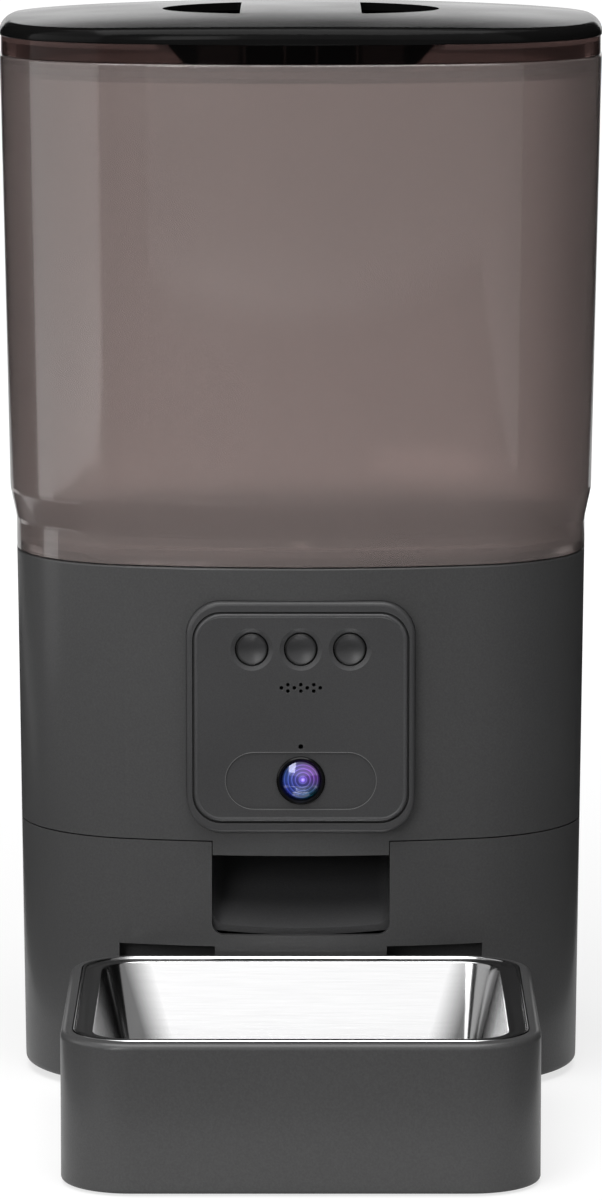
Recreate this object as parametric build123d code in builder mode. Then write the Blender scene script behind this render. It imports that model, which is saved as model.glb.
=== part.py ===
"""Gravity-fed automatic pet feeder: lidded hopper, bladed dispenser, camera panel and bowl tray.

Millimetres, +Z up. The front faces -Y. The origin is on the floor, at the middle of the
whole feeder's plan. The body's own centre line stands at y = BODY_Y.
"""

from build123d import *
from math import acos, atan2, cos, degrees, hypot, pi, radians, sin, sqrt, tan
import os

os.makedirs("parts", exist_ok=True)

# ---------------------------------------------------------------- overall outline
BODY_WIDTH = 180.0            # across the tank's rim
BODY_DEPTH = 150.0            # front to back at the tank's rim
FRONT_RADIUS = 218.0          # bulge of the front and the back
SIDE_RADIUS = 405.0           # bulge of the two sides
CORNER_RADIUS = 48.0          # rounded upright corners
FOOT_HEIGHT = 2.0             # floor to the underside of the housing
HOUSING_SEAM_Z = 76.6         # lower housing meets upper housing
TANK_SEAM_Z = 158.4           # upper housing meets tank
TANK_RIM_Z = 306.0            # top edge of the tank
BASE_INSET = 6.1              # housing's foot stands this far inside the rim's outline
SEAM_INSET = 4.3              # and its top edge this far
SEAM_GAP = 0.4                # shadow line between stacked shells

# ---------------------------------------------------------------- shells
HOUSING_WALL = 2.5
TANK_WALL = 2.4
SHOULDER_LOW_Z = 167.6        # the tank steps out between these two heights
SHOULDER_HIGH_Z = 176.6
SHOULDER_INSET = 2.4          # tank's inset just above its shoulder
SHOULDER_BLEND = 6.0          # rounding of the shoulder's two bends
TANK_LEDGE = 5.0              # inner ledge at the tank's foot
TANK_LEDGE_THICKNESS = 2.4
DECK_DROP = 7.0               # housing's deck below its top edge
DECK_THICKNESS = 2.4
LIP_HEIGHT = 3.0              # locating lip inside the housing seam
LIP_THICKNESS = 1.6
RIM_ROUND = 0.7               # rounding of the tank's top edge
HOUSING_EDGE = 0.6            # rounding of the upper housing's top edge
BASE_EDGE = 1.6               # and of the lower housing's foot
FIT = 0.3                     # clearance between parts that lift or slide apart

# ---------------------------------------------------------------- lid
SKIRT_HEIGHT = 5.6            # smoked band between the rim and the black cover
SKIRT_INSET = 0.4
LID_SEAT = 0.3                # clearance between the skirt and the rim
COVER_HEIGHT = 7.0            # cover's underside to its crown
COVER_CROWN = 2.8             # the crown falls by this much to the two sides
COVER_WALL = 2.4
COVER_ROUND = 3.4
COVER_LOWER_ROUND = 0.5
LINER_PLATE = 1.8
PLUG_DEPTH = 5.6              # liner's collar inside the tank's mouth
PLUG_WALL = 2.0
PLUG_FIT = 0.4
SEAL_HEIGHT = 2.0
SEAL_RISE = 1.4               # seal above the collar's lower edge
SEAL_DEPTH = 0.9
SEAL_PROUD = 0.25
WELL_LENGTH = 83.0            # oval finger well, across
WELL_WIDTH = 66.0             # front to back
WELL_SHRINK = 8.0             # the well's walls lean in by this much at the floor
WELL_WALL = 1.8
WELL_FLOOR_DROP = 1.0         # well's floor below the tank's rim
GRIP_WIDTH = 36.0             # bar between the two finger holes
FINGER_HOLE_ROUND = 1.2
GRIP_RIB_HEIGHT = 5.0
GRIP_RIB_THICKNESS = 1.2
GRIP_RIB_LENGTH = 46.0
GRIP_RIB_OFFSETS = (4.6, 16.4)

# ---------------------------------------------------------------- dispenser
WELL_RADIUS = 44.0            # rotor well, inside
ROTOR_WELL_WALL = 2.0
ROTOR_WELL_FLOOR_Z = 96.0     # top of the floor
ROTOR_WELL_HEIGHT = 30.0
FUNNEL_THROAT = 41.0          # funnel's outlet radius
FUNNEL_RISE = 1.0             # funnel's outlet above the well
FUNNEL_WALL = 2.0
FUNNEL_SLOPE = 42.0           # degrees from level
FUNNEL_FLANGE_THICKNESS = 2.0
ROTOR_RADIUS = 43.0
ROTOR_HEIGHT = 24.0
ROTOR_FLOOR_GAP = 1.2
BLADE_COUNT = 6
BLADE_THICKNESS = 2.4
BLADE_SWEEP = 30.0            # degrees that a blade leans back between hub and tip
BLADE_BEND = (0.35, 0.6)      # share of the sweep reached at this share of the radius
BLADE_OVERRUN = 3.0           # blade's line past the hub and past the tip, before trimming
HUB_RADIUS = 9.0
SHAFT_RADIUS = 3.0
SHAFT_CLEARANCE = 0.06
BUSHING_WALL = 2.0
OUTLET_HALF_ANGLE = 36.0      # sector cut in the well's floor
OUTLET_INNER_RADIUS = 13.0
OUTLET_RIM = 1.0              # well's floor left outside the outlet
LIMITER_HALF_ANGLE = 42.0
LIMITER_THICKNESS = 1.6
STIRRER_REACH = 27.0
STIRRER_RISE = 24.0
STIRRER_ROD = 2.4
STIRRER_CAP = 9.0
STIRRER_STEP = 1.0            # cap's radius inside the hub's
STIRRER_HEADINGS = (90, 210, 330)
STIRRER_TIP_ROUND = 1.4
BLADE_SLOPE = 3.0             # blades drop this much from hub to tip
BUSHING_DROP = 6.0
LIMITER_GAP = 1.0

# ---------------------------------------------------------------- gear train
GEAR_MODULE = 1.0
PRESSURE_ANGLE = 20.0
BACKLASH = 0.24               # thinning of each tooth at the pitch circle
GEAR_WIDTH = 4.0
LAYER_GAP = 1.4
OUTPUT_TEETH = 32
WHEEL_TEETH = 30
PINION_TEETH = 10
PIN_RADIUS = 1.5
SECOND_IDLER_ANGLE = 40.0     # from the output shaft to the second idler
FIRST_IDLER_ANGLE = 148.0     # from the second idler to the first
MOTOR_ANGLE = 118.0           # from the first idler to the motor
GEARBOX_WALL = 1.8
GEARBOX_CLEARANCE = 1.2
GEARBOX_TOP_Z = 71.0
MOTOR_RADIUS = 12.0
MOTOR_LENGTH = 20.0
MOTOR_SHAFT = 1.0
MOTOR_SHAFT_REACH = 4.0
MOTOR_END_PLAY = 1.0          # room past the end of the motor's shaft
MOTOR_ROUND = 1.5
MOTOR_TERMINAL = (0.8, 3.0, 1.6)
ADDENDUM = 0.9                # in modules
DEDENDUM = 1.2
POST_RADIUS = 3.2
EAR_WALL = 1.0                # gearbox lid's width round a post or the motor
GEAR_HUB_WALL = 1.4
GEAR_END_GAP = 1.0            # above the top gear and below the lowest one

# ---------------------------------------------------------------- outlet and chute
MOUTH_WIDTH = 52.6
MOUTH_LOW_Z = 48.6
MOUTH_HIGH_Z = 72.7
MOUTH_CORNER = 3.6
TONGUE_SLIT = 0.3
CHUTE_WALL = 1.6
CHUTE_BACK = 9.0              # chute's back wall, forward of the shaft
CHUTE_ROOF_Y = 46.0           # its roof meets the well this far forward of the shaft
CHUTE_GAP = 0.2
CHUTE_STEP = 2.0              # upright part of the chute's back, under the well
EYE_Y = -52.0                 # infrared eyes in the chute's side walls
EYE_Z = 68.0
EYE_RADIUS = 2.0
EYE_HOUSING = 6.0
EYE_DROP = 0.2                # lens of an eye behind the chute's inner face

# ---------------------------------------------------------------- control panel
PANEL_WIDTH = 67.2
PANEL_HEIGHT = 68.8
PANEL_CENTRE_Z = 114.3
PANEL_CORNER = 10.4
PANEL_PROUD = 1.0             # in front of the housing, at the panel's top edge
PANEL_SIDE_RIM = 1.7
PANEL_END_RIM = 2.9
PANEL_GROOVE = 0.35
PANEL_THICKNESS = 2.4
PANEL_SHELF = 2.0             # ledge behind the face plate
PANEL_BOX_DEPTH = 5.2
PANEL_ROUND = 1.3
PANEL_FACE_ROUND = 1.1
PANEL_FIT = 0.15
PANEL_BAY = 3.0               # room left round the panel's box
BUTTON_RADIUS = 4.6
BUTTON_GAP = 0.4
BUTTON_PITCH = 14.4
BUTTON_Z = 134.6
BUTTON_LENGTH = 4.2
BUTTON_TRAVEL = 0.8
BUTTON_DISH_RADIUS = 11.0
BUTTON_DISH_DEPTH = 0.9
BUTTON_ROUND = 0.2
BUTTON_FLANGE = 0.9
BUTTON_DROP = 0.15            # button faces behind the panel's face
DISH_RIM = 1.3                # dished ring round each button's hole
DISH_DEPTH = 0.6
SWITCH_WIDTH = 5.0
SWITCH_HEIGHT = 2.0
SWITCH_BOARD_SIZE = (52.0, 8.0)
SWITCH_POST_INSET = 2.5
SWITCH_POST_RADIUS = 2.0
SPEAKER_Z = 123.2
SPEAKER_HOLE = 0.58
SPEAKER_PITCH = 1.9
SPEAKER_SIZE = (24.0, 9.0, 3.6)
SPEAKER_WALL = 1.2
MICROPHONE_RADIUS = 2.0
MICROPHONE_DEPTH = 2.2
MICROPHONE_Z = 105.7
MICROPHONE_HOLE = 0.75
LENS_Z = 95.5
LENS_RADIUS = 6.0
BEZEL_WALL = 1.1
BEZEL_PLAY = 0.1
RECESS_WIDTH = 44.4
RECESS_HEIGHT = 17.0
RECESS_DEPTH = 0.4
BEZEL_PROUD = 0.6
BEZEL_FLANGE = 1.0
BEZEL_FLANGE_THICKNESS = 1.2
GLASS_SEAT = 1.4              # back of the lens behind the panel's face
GLASS_THICKNESS = 1.8
GLASS_BULGE_RADIUS = 15.0
GLASS_GAP = 0.05
GLASS_LEDGE = 1.0             # seat behind the lens
BARREL_LENGTH = 7.5
# outer radius and depth behind the lens of each ring in the barrel
BARREL_STEPS = ((1.6, 1.7), (2.8, 1.1), (3.9, 0.6), (4.9, 0.1))
CAMERA_BOARD = 17.0

# ---------------------------------------------------------------- base
PLATE_THICKNESS = 4.0
BAY_WIDTH = 106.0             # three large cells side by side
BAY_DEPTH = 64.0
BAY_HEIGHT = 35.5
BAY_WALL = 1.8
BAY_BACK = 52.0               # bay's middle ahead of the rim's back
DOOR_LEDGE = 3.0
DOOR_GAP = 0.4
DOOR_PIN_RADIUS = 0.8
DOOR_PIN_LENGTH = 2.0
CONTACT_SIZE = (14.0, 0.6, 16.0)
CELL_PITCH = 35.0
SPRING_RADIUS = 5.0           # spring buttons of the battery contacts
SPRING_HEIGHT = 1.6
SPRING_SLOPE = 30.0           # degrees from upright
FOOT_RADIUS = 5.0
FOOT_SEAT = 1.0
FOOT_CHAMFER = 0.6
FOOT_SPACING = 1.2            # from the battery door to a foot
FOOT_END_INSET = 38.0         # foot's middle inside the rim's front or back
BOSS_RADIUS = 4.0
BOSS_HEIGHT = 26.0
BOSS_SINK = 0.9               # depth that a boss is merged with the side wall
SCREW_RADIUS = 1.4
SCREW_HEAD_RADIUS = 2.8
SCREW_HEAD_HEIGHT = 1.6
SCREW_PLAY = 0.2
SCREW_SINK = 0.2              # base screws' heads above the plate's underside
SCREW_SPARE = 1.0             # hole's depth past a screw's tip
SCREW_LENGTH = 9.0            # hole depth in a boss
DOOR_THICKNESS = 2.0
DOOR_PIN_PLAY = 0.06
DOOR_HINGE_ROUND = 0.98       # share of the hinge edge's half thickness
NOTCH_RADIUS = 7.0
JACK_Z = 54.0
JACK_X = 0.0
JACK_BORE = 2.85
JACK_BORE_DEPTH = 9.0
JACK_BARREL = 4.2
JACK_DEPTH = 12.0
JACK_BLOCK = 11.0
JACK_RECESS = 0.3
JACK_PIN = 1.0
JACK_PIN_DROP = 3.5           # pin's tip behind the inlet's mouth

# ---------------------------------------------------------------- main board
BOARD_THICKNESS = 1.2
BOARD_BACK = 17.0             # board's front ahead of the rim's back
BOARD_CENTRE_Z = 107.4        # between the motor and the well's deck
BOARD_WIDTH = 76.0
BOARD_HEIGHT = 30.0
BOARD_PAD_SPACING_X = 68.0
BOARD_PAD_SPACING_Z = 22.0
BOARD_SCREW_LENGTH = 4.0
BOARD_SCREW_SPARE = 0.5
BOARD_SCREW_HEAD = 2.24
PAD_RADIUS = 3.0
# centre x, centre z from the board's middle, width, height, depth
BOARD_CHIPS = (
    (-8.0, 3.0, 12.0, 12.0, 1.6),
    (12.0, 4.0, 18.0, 16.0, 2.2),
    (8.0, -9.5, 10.0, 6.0, 1.6),
    (-24.0, -4.0, 8.0, 10.0, 1.8),
)

# ---------------------------------------------------------------- bowl tray
TRAY_WIDTH = 134.6
TRAY_DEPTH = 124.0
TRAY_HEIGHT = 43.2
TRAY_CORNER = 20.0
TRAY_WALL = 2.4
TRAY_GAP = 0.6                # between the tray's back and the housing
TRAY_FLOOR_Z = 6.0
TRAY_LIFT = 0.6               # tray's foot above the floor
RIM_WIDTH = 3.2
FLANGE_WIDTH = 4.8
FLANGE_DROP = 0.5             # bowl's flange below the tray's rim
BOWL_SHIFT = 0.8              # bowl's middle behind the tray's
STEEL = 0.8
BOWL_DEPTH = 31.0
BOWL_TAPER = 11.0             # degrees
BOWL_FLOOR_ROUND = 8.0
BOWL_SEAT = 0.1
BOWL_LIP = 0.6
TUB_CLEARANCE = 1.0
TRAY_MIN_CORNER = 11.0
TRAY_ROUND = 1.8
TRAY_FOOT_ROUND = 1.2
PAD_INSET = 16.0
PAD_SIZE = 5.0
TAB_WIDTH = 25.0
TAB_X = 39.6                  # centre of each tab and of its pocket
TAB_REACH = 12.0
TAB_THICKNESS = 2.6
TAB_Z = 37.0
TAB_HOOK = 3.0
POCKET_WIDTH = 28.4
POCKET_LOW_Z = 31.0
POCKET_HIGH_Z = 45.2
POCKET_DEPTH = 14.0           # from the tray's back to the pocket's end
POCKET_CORNER = 2.4           # rounding of the pockets' outer top corners
POCKET_WALL = 1.1

# ---------------------------------------------------------------- worked-out places


def housing_inset(z):
    """How far the housing's wall stands inside the rim's outline at height z."""
    share = (z - FOOT_HEIGHT) / (TANK_SEAM_Z - FOOT_HEIGHT)
    return BASE_INSET + (SEAM_INSET - BASE_INSET) * share


HALF_DEPTH_AT_TRAY = BODY_DEPTH / 2 - housing_inset(TRAY_HEIGHT)
TRAY_BACK = -HALF_DEPTH_AT_TRAY - TRAY_GAP          # measured from the body's centre line
TRAY_FRONT = TRAY_BACK - TRAY_DEPTH
TRAY_CENTRE = (TRAY_BACK + TRAY_FRONT) / 2
BODY_Y = (-TRAY_FRONT - BODY_DEPTH / 2) / 2

BOSS_Y = BODY_DEPTH / 2 - CORNER_RADIUS             # where the side walls start to turn
BAY_CENTRE_Y = BODY_DEPTH / 2 - BAY_BACK
BOARD_Y = BODY_DEPTH / 2 - BOARD_BACK
FOOT_X = BAY_WIDTH / 2 + DOOR_LEDGE + FIT + FOOT_SPACING + FOOT_RADIUS
FOOT_Y = BODY_DEPTH / 2 - FOOT_END_INSET

COVER_Z = TANK_RIM_Z + SKIRT_HEIGHT
CROWN_RADIUS = (BODY_WIDTH**2 / 4 + COVER_CROWN**2) / (2 * COVER_CROWN)
TANK_FOOT_Z = TANK_SEAM_Z + SEAM_GAP
DECK_Z = TANK_SEAM_Z - DECK_DROP
FUNNEL_TOP_Z = TANK_FOOT_Z + TANK_LEDGE_THICKNESS
WELL_TOP_Z = ROTOR_WELL_FLOOR_Z + ROTOR_WELL_HEIGHT
WELL_UNDERSIDE_Z = ROTOR_WELL_FLOOR_Z - ROTOR_WELL_WALL
ROTOR_LOW_Z = ROTOR_WELL_FLOOR_Z + ROTOR_FLOOR_GAP
ROTOR_TOP_Z = ROTOR_LOW_Z + ROTOR_HEIGHT
PANEL_FACE_Y = housing_inset(PANEL_CENTRE_Z + PANEL_HEIGHT / 2) - BODY_DEPTH / 2 - PANEL_PROUD
PLATE_BACK_Y = PANEL_FACE_Y + PANEL_THICKNESS
BAY_TOP_Z = FOOT_HEIGHT + PLATE_THICKNESS + BAY_HEIGHT
FLANGE_Z = TRAY_HEIGHT - FLANGE_DROP
BUTTON_FACE_Y = PANEL_FACE_Y + BUTTON_DROP
SWITCH_BOARD_Y = BUTTON_FACE_Y + BUTTON_LENGTH + BUTTON_TRAVEL + FIT + SWITCH_HEIGHT


def level(z):
    """Horizontal plane at height z, centred on the body."""
    return Plane((0, BODY_Y, z))


def front_plane(y):
    """Upright plane that faces the front, y from the body's centre line; sketched in x and z."""
    return Plane((0, BODY_Y + y, 0), x_dir=(1, 0, 0), z_dir=(0, -1, 0))


def side_plane(x=0.0):
    """Upright plane that faces +X; sketched in y and z."""
    return Plane((x, BODY_Y, 0), x_dir=(0, 1, 0), z_dir=(1, 0, 0))


def body_plan(z, inset):
    """Sketch the body's outline at height z, moved inwards by inset."""
    half_width = BODY_WIDTH / 2 - inset
    half_depth = BODY_DEPTH / 2 - inset
    front_radius = FRONT_RADIUS - inset
    side_radius = SIDE_RADIUS - inset
    front_centre = Vector(0, front_radius - half_depth)
    side_centre = Vector(half_width - side_radius, 0)
    between = side_centre - front_centre
    along = (front_radius**2 - side_radius**2 + between.length**2) / (2 * between.length)
    across = sqrt(front_radius**2 - along**2)
    heading = between.normalized()
    corner = front_centre + heading * along + Vector(-heading.Y, heading.X) * across
    x, y = abs(corner.X), abs(corner.Y)
    with BuildSketch(level(z)) as plan:
        with BuildLine():
            ThreePointArc((-x, -y), (0, -half_depth), (x, -y))
            ThreePointArc((x, -y), (half_width, 0), (x, y))
            ThreePointArc((x, y), (0, half_depth), (-x, y))
            ThreePointArc((-x, y), (-half_width, 0), (-x, -y))
        make_face()
        fillet(plan.vertices(), CORNER_RADIUS - inset)
    return plan.sketch


def body_block(low_z, high_z, low_inset, high_inset, mode=Mode.ADD):
    """Block of the body's outline whose walls lean from one inset to the other."""
    if low_inset == high_inset:
        extrude(body_plan(low_z, low_inset), amount=high_z - low_z, mode=mode)
    else:
        sections = [body_plan(low_z, low_inset).face(), body_plan(high_z, high_inset).face()]
        loft(sections, ruled=True, mode=mode)


def housing_block(low_z, high_z, wall=0.0, mode=Mode.ADD):
    """Block that follows the housing's leaning walls, moved inwards by a wall."""
    body_block(low_z, high_z, housing_inset(low_z) + wall, housing_inset(high_z) + wall, mode)


def ring_block(low_z, high_z, outer_inset, inner_inset):
    """Upright ring between two insets of the body's outline."""
    with BuildPart() as ring:
        body_block(low_z, high_z, outer_inset, outer_inset)
        body_block(low_z, high_z, inner_inset, inner_inset, mode=Mode.SUBTRACT)
    return ring.part


def lip_wall(grow):
    """Inset of the housing seam's locating lip, measured from inside the wall."""
    return housing_inset(HOUSING_SEAM_Z) + HOUSING_WALL + grow


def upright(radius, low_z, high_z, x=0.0, y=0.0, mode=Mode.ADD):
    """Upright cylinder between two heights, x and y from the body's centre line."""
    with Locations((x, BODY_Y + y, low_z)):
        Cylinder(radius, high_z - low_z, align=(Align.CENTER, Align.CENTER, Align.MIN), mode=mode)


def sector(plane, inner_radius, outer_radius, half_angle):
    """Sketch a ring sector that is centred on the front."""
    low, high = radians(-90 - half_angle), radians(-90 + half_angle)
    with BuildSketch(plane) as ring:
        with BuildLine():
            start = Vector(inner_radius * cos(low), inner_radius * sin(low))
            end = Vector(inner_radius * cos(high), inner_radius * sin(high))
            far_start = start * (outer_radius / inner_radius)
            far_end = end * (outer_radius / inner_radius)
            Line(start, far_start)
            ThreePointArc(far_start, (0, -outer_radius), far_end)
            Line(far_end, end)
            ThreePointArc(end, (0, -inner_radius), start)
        make_face()
    return ring.sketch


# ================================================================ tank
def tank_form(wall, low_z):
    """The tank's solid outline moved inwards by a wall, with its stepped shoulder rounded."""
    foot_inset = SEAM_INSET + wall
    waist_inset = SHOULDER_INSET + wall
    with BuildPart() as form:
        body_block(low_z, SHOULDER_LOW_Z, foot_inset, foot_inset)
        body_block(SHOULDER_LOW_Z, SHOULDER_HIGH_Z, foot_inset, waist_inset)
        body_block(SHOULDER_HIGH_Z, TANK_RIM_Z, waist_inset, wall)
        bends = form.edges().filter_by_position(Axis.Z, SHOULDER_LOW_Z - 1, SHOULDER_HIGH_Z + 1)
        fillet(bends.filter_by(lambda e: e.bounding_box().size.Z < 0.01), SHOULDER_BLEND)
    return form.part


lip_inset = SEAM_INSET + HOUSING_WALL + FIT
ledge_inset = SEAM_INSET + TANK_WALL + TANK_LEDGE

with BuildPart() as tank:
    add(tank_form(0, TANK_FOOT_Z))
    body_block(TANK_FOOT_Z - LIP_HEIGHT, TANK_FOOT_Z, lip_inset, lip_inset)
    body_block(TANK_FOOT_Z - LIP_HEIGHT, TANK_FOOT_Z, lip_inset + LIP_THICKNESS,
               lip_inset + LIP_THICKNESS, mode=Mode.SUBTRACT)
    add(tank_form(TANK_WALL, FUNNEL_TOP_Z), mode=Mode.SUBTRACT)
    body_block(TANK_FOOT_Z, FUNNEL_TOP_Z, ledge_inset, ledge_inset, mode=Mode.SUBTRACT)
    fillet(tank.faces().sort_by(Axis.Z)[-1].edges(), RIM_ROUND)
tank.part.label = "tank"
export_step(tank.part, "parts/tank.step")

# ================================================================ funnel under the tank
throat_z = WELL_TOP_Z + FUNNEL_RISE
funnel_cone_height = FUNNEL_TOP_Z + FUNNEL_FLANGE_THICKNESS - throat_z
funnel_spread = funnel_cone_height / tan(radians(FUNNEL_SLOPE))
funnel_skin = FUNNEL_WALL / sin(radians(FUNNEL_SLOPE))


def hopper_form(inset, radius, high_z):
    """Cone that is cut to the body's outline, from the throat up to a height."""
    with BuildPart() as form:
        body_block(throat_z, high_z, inset, inset)
        with Locations((0, BODY_Y, throat_z)):
            Cone(radius, radius + funnel_spread, funnel_cone_height,
                 align=(Align.CENTER, Align.CENTER, Align.MIN), mode=Mode.INTERSECT)
    return form.part


with BuildPart() as tank_funnel:
    seat_inset = SEAM_INSET + TANK_WALL + FIT
    neck_inset = ledge_inset + FIT
    body_block(FUNNEL_TOP_Z, FUNNEL_TOP_Z + FUNNEL_FLANGE_THICKNESS, seat_inset, seat_inset)
    add(hopper_form(neck_inset, FUNNEL_THROAT + funnel_skin, FUNNEL_TOP_Z))
    add(hopper_form(neck_inset + FUNNEL_WALL, FUNNEL_THROAT,
                    FUNNEL_TOP_Z + FUNNEL_FLANGE_THICKNESS), mode=Mode.SUBTRACT)
tank_funnel.part.label = "tank_funnel"
export_step(tank_funnel.part, "parts/tank_funnel.step")

# ================================================================ lid
def dome_form(wall):
    """The cover's crowned outline, moved inwards by a wall."""
    with BuildPart() as form:
        body_block(COVER_Z, COVER_Z + 2 * COVER_HEIGHT, wall, wall)
        with Locations((0, BODY_Y, COVER_Z + COVER_HEIGHT - CROWN_RADIUS)):
            Sphere(CROWN_RADIUS - wall, mode=Mode.INTERSECT)
        fillet(form.faces().sort_by(Axis.Z)[-1].edges(), COVER_ROUND - wall)
    return form.part


with BuildPart() as lid_cover:
    # stiffening ribs under the grip, trimmed to the cover's outline
    with BuildSketch(level(COVER_Z)):
        for offset_x in GRIP_RIB_OFFSETS:
            with Locations((-offset_x, 0), (offset_x, 0)):
                Rectangle(GRIP_RIB_THICKNESS, GRIP_RIB_LENGTH)
    extrude(amount=COVER_HEIGHT)
    add(dome_form(0), mode=Mode.INTERSECT)
    extrude(lid_cover.faces().filter_by(Axis.Z).group_by(Axis.Z)[0], amount=GRIP_RIB_HEIGHT)
    # crowned shell
    with BuildPart(mode=Mode.PRIVATE) as cover_shell:
        add(dome_form(0))
        fillet(cover_shell.faces().sort_by(Axis.Z)[0].edges(), COVER_LOWER_ROUND)
        add(dome_form(COVER_WALL), mode=Mode.SUBTRACT)
    add(cover_shell.part)
    # two finger holes, left and right of the grip
    with BuildSketch(level(COVER_Z)) as finger_holes:
        Ellipse(WELL_LENGTH / 2, WELL_WIDTH / 2)
        Rectangle(GRIP_WIDTH, WELL_WIDTH, mode=Mode.SUBTRACT)
        fillet(finger_holes.vertices(), FINGER_HOLE_ROUND)
    extrude(amount=COVER_HEIGHT, mode=Mode.SUBTRACT)
lid_cover.part.label = "lid_cover"
export_step(lid_cover.part, "parts/lid_cover.step")

well_floor_z = TANK_RIM_Z - WELL_FLOOR_DROP
plug_inset = TANK_WALL + PLUG_FIT
plug_low_z = TANK_RIM_Z - PLUG_DEPTH
seal_z = plug_low_z + SEAL_RISE


def finger_well(grow, low_z):
    """Oval cup up to the cover, its walls leaning inwards towards its floor."""
    with BuildPart() as form:
        with BuildSketch(level(low_z)):
            Ellipse(WELL_LENGTH / 2 + grow - WELL_SHRINK, WELL_WIDTH / 2 + grow - WELL_SHRINK)
        with BuildSketch(level(COVER_Z)):
            Ellipse(WELL_LENGTH / 2 + grow, WELL_WIDTH / 2 + grow)
        loft()
    return form.part


with BuildPart() as lid_liner:
    # collar that plugs the tank's mouth, under a wider skirt and a top plate
    body_block(plug_low_z, COVER_Z, plug_inset, plug_inset)
    body_block(TANK_RIM_Z + LID_SEAT, COVER_Z, SKIRT_INSET, SKIRT_INSET)
    body_block(plug_low_z, COVER_Z - LINER_PLATE, plug_inset + PLUG_WALL, plug_inset + PLUG_WALL,
               mode=Mode.SUBTRACT)
    add(finger_well(WELL_WALL, well_floor_z - WELL_WALL))
    add(finger_well(0, well_floor_z), mode=Mode.SUBTRACT)
    add(ring_block(seal_z, seal_z + SEAL_HEIGHT, plug_inset - 1, plug_inset + SEAL_DEPTH),
        mode=Mode.SUBTRACT)
lid_liner.part.label = "lid_liner"
export_step(lid_liner.part, "parts/lid_liner.step")

with BuildPart() as lid_seal:
    add(ring_block(seal_z, seal_z + SEAL_HEIGHT, plug_inset - SEAL_PROUD, plug_inset + SEAL_DEPTH))
lid_seal.part.label = "lid_seal"
export_step(lid_seal.part, "parts/lid_seal.step")

# ================================================================ upper housing
neck_opening = ledge_inset - FIT
deck_low_z = DECK_Z - DECK_THICKNESS
upper_low_z = HOUSING_SEAM_Z + SEAM_GAP


def panel_outline(y, width, height, corner):
    """Sketch a rounded rectangle on the upright plane at y, centred on the control panel."""
    with BuildSketch(front_plane(y)) as outline:
        with Locations((0, PANEL_CENTRE_Z)):
            RectangleRounded(width, height, corner)
    return outline.sketch


def boss_x(z):
    """Centre of a screw boss that grows out of the housing's side wall."""
    bulge = SIDE_RADIUS - sqrt(SIDE_RADIUS**2 - BOSS_Y**2)
    wall_x = BODY_WIDTH / 2 - housing_inset(z) - HOUSING_WALL - bulge
    return wall_x - BOSS_RADIUS + BOSS_SINK


# tab that closes the top of the outlet's notch in the lower housing
with BuildPart() as tongue:
    housing_block(MOUTH_HIGH_Z, upper_low_z + HOUSING_WALL)
    housing_block(MOUTH_HIGH_Z, upper_low_z + HOUSING_WALL, HOUSING_WALL, mode=Mode.SUBTRACT)
    with BuildSketch(level(MOUTH_HIGH_Z)):
        with Locations((0, -BODY_DEPTH / 2)):
            Rectangle(MOUTH_WIDTH - 2 * TONGUE_SLIT, BODY_DEPTH / 2)
    extrude(amount=BODY_DEPTH, mode=Mode.INTERSECT)

# pads on the back wall that the main board is screwed to
with BuildPart() as board_pads:
    with BuildSketch(front_plane(BOARD_Y + BOARD_THICKNESS)):
        with Locations((0, BOARD_CENTRE_Z)):
            with GridLocations(BOARD_PAD_SPACING_X, BOARD_PAD_SPACING_Z, 2, 2):
                Circle(PAD_RADIUS)
    extrude(amount=-BODY_DEPTH / 2)
    housing_block(upper_low_z, DECK_Z, HOUSING_WALL / 2, mode=Mode.INTERSECT)

with BuildPart() as upper_housing:
    housing_block(upper_low_z, TANK_SEAM_Z)
    fillet(upper_housing.faces().sort_by(Axis.Z)[-1].edges(), HOUSING_EDGE)
    housing_block(upper_low_z, deck_low_z, HOUSING_WALL, mode=Mode.SUBTRACT)
    housing_block(DECK_Z, TANK_SEAM_Z, HOUSING_WALL, mode=Mode.SUBTRACT)
    body_block(deck_low_z, DECK_Z, neck_opening, neck_opening, mode=Mode.SUBTRACT)
    add(tongue.part)
    add(board_pads.part)
    with GridLocations(2 * boss_x(WELL_TOP_Z), 2 * BOSS_Y, 2, 2):
        upright(BOSS_RADIUS, WELL_TOP_Z, deck_low_z)
        upright(SCREW_RADIUS, WELL_TOP_Z, WELL_TOP_Z + SCREW_LENGTH, mode=Mode.SUBTRACT)
    extrude(panel_outline(PANEL_FACE_Y, PANEL_WIDTH + 2 * PANEL_FIT, PANEL_HEIGHT + 2 * PANEL_FIT,
                          PANEL_CORNER + PANEL_FIT), amount=-PANEL_BOX_DEPTH, mode=Mode.SUBTRACT)
    with BuildSketch(front_plane(BOARD_Y + BOARD_THICKNESS)):
        with Locations((0, BOARD_CENTRE_Z)):
            with GridLocations(BOARD_PAD_SPACING_X, BOARD_PAD_SPACING_Z, 2, 2):
                Circle(SCREW_RADIUS)
    extrude(amount=-BOARD_SCREW_LENGTH, mode=Mode.SUBTRACT)
upper_housing.part.label = "upper_housing"
export_step(upper_housing.part, "parts/upper_housing.step")

# ================================================================ lower housing
plate_top_z = FOOT_HEIGHT + PLATE_THICKNESS
pocket_back = TRAY_BACK + POCKET_DEPTH
jack_face = BODY_DEPTH / 2 - housing_inset(JACK_Z) - JACK_RECESS


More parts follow.
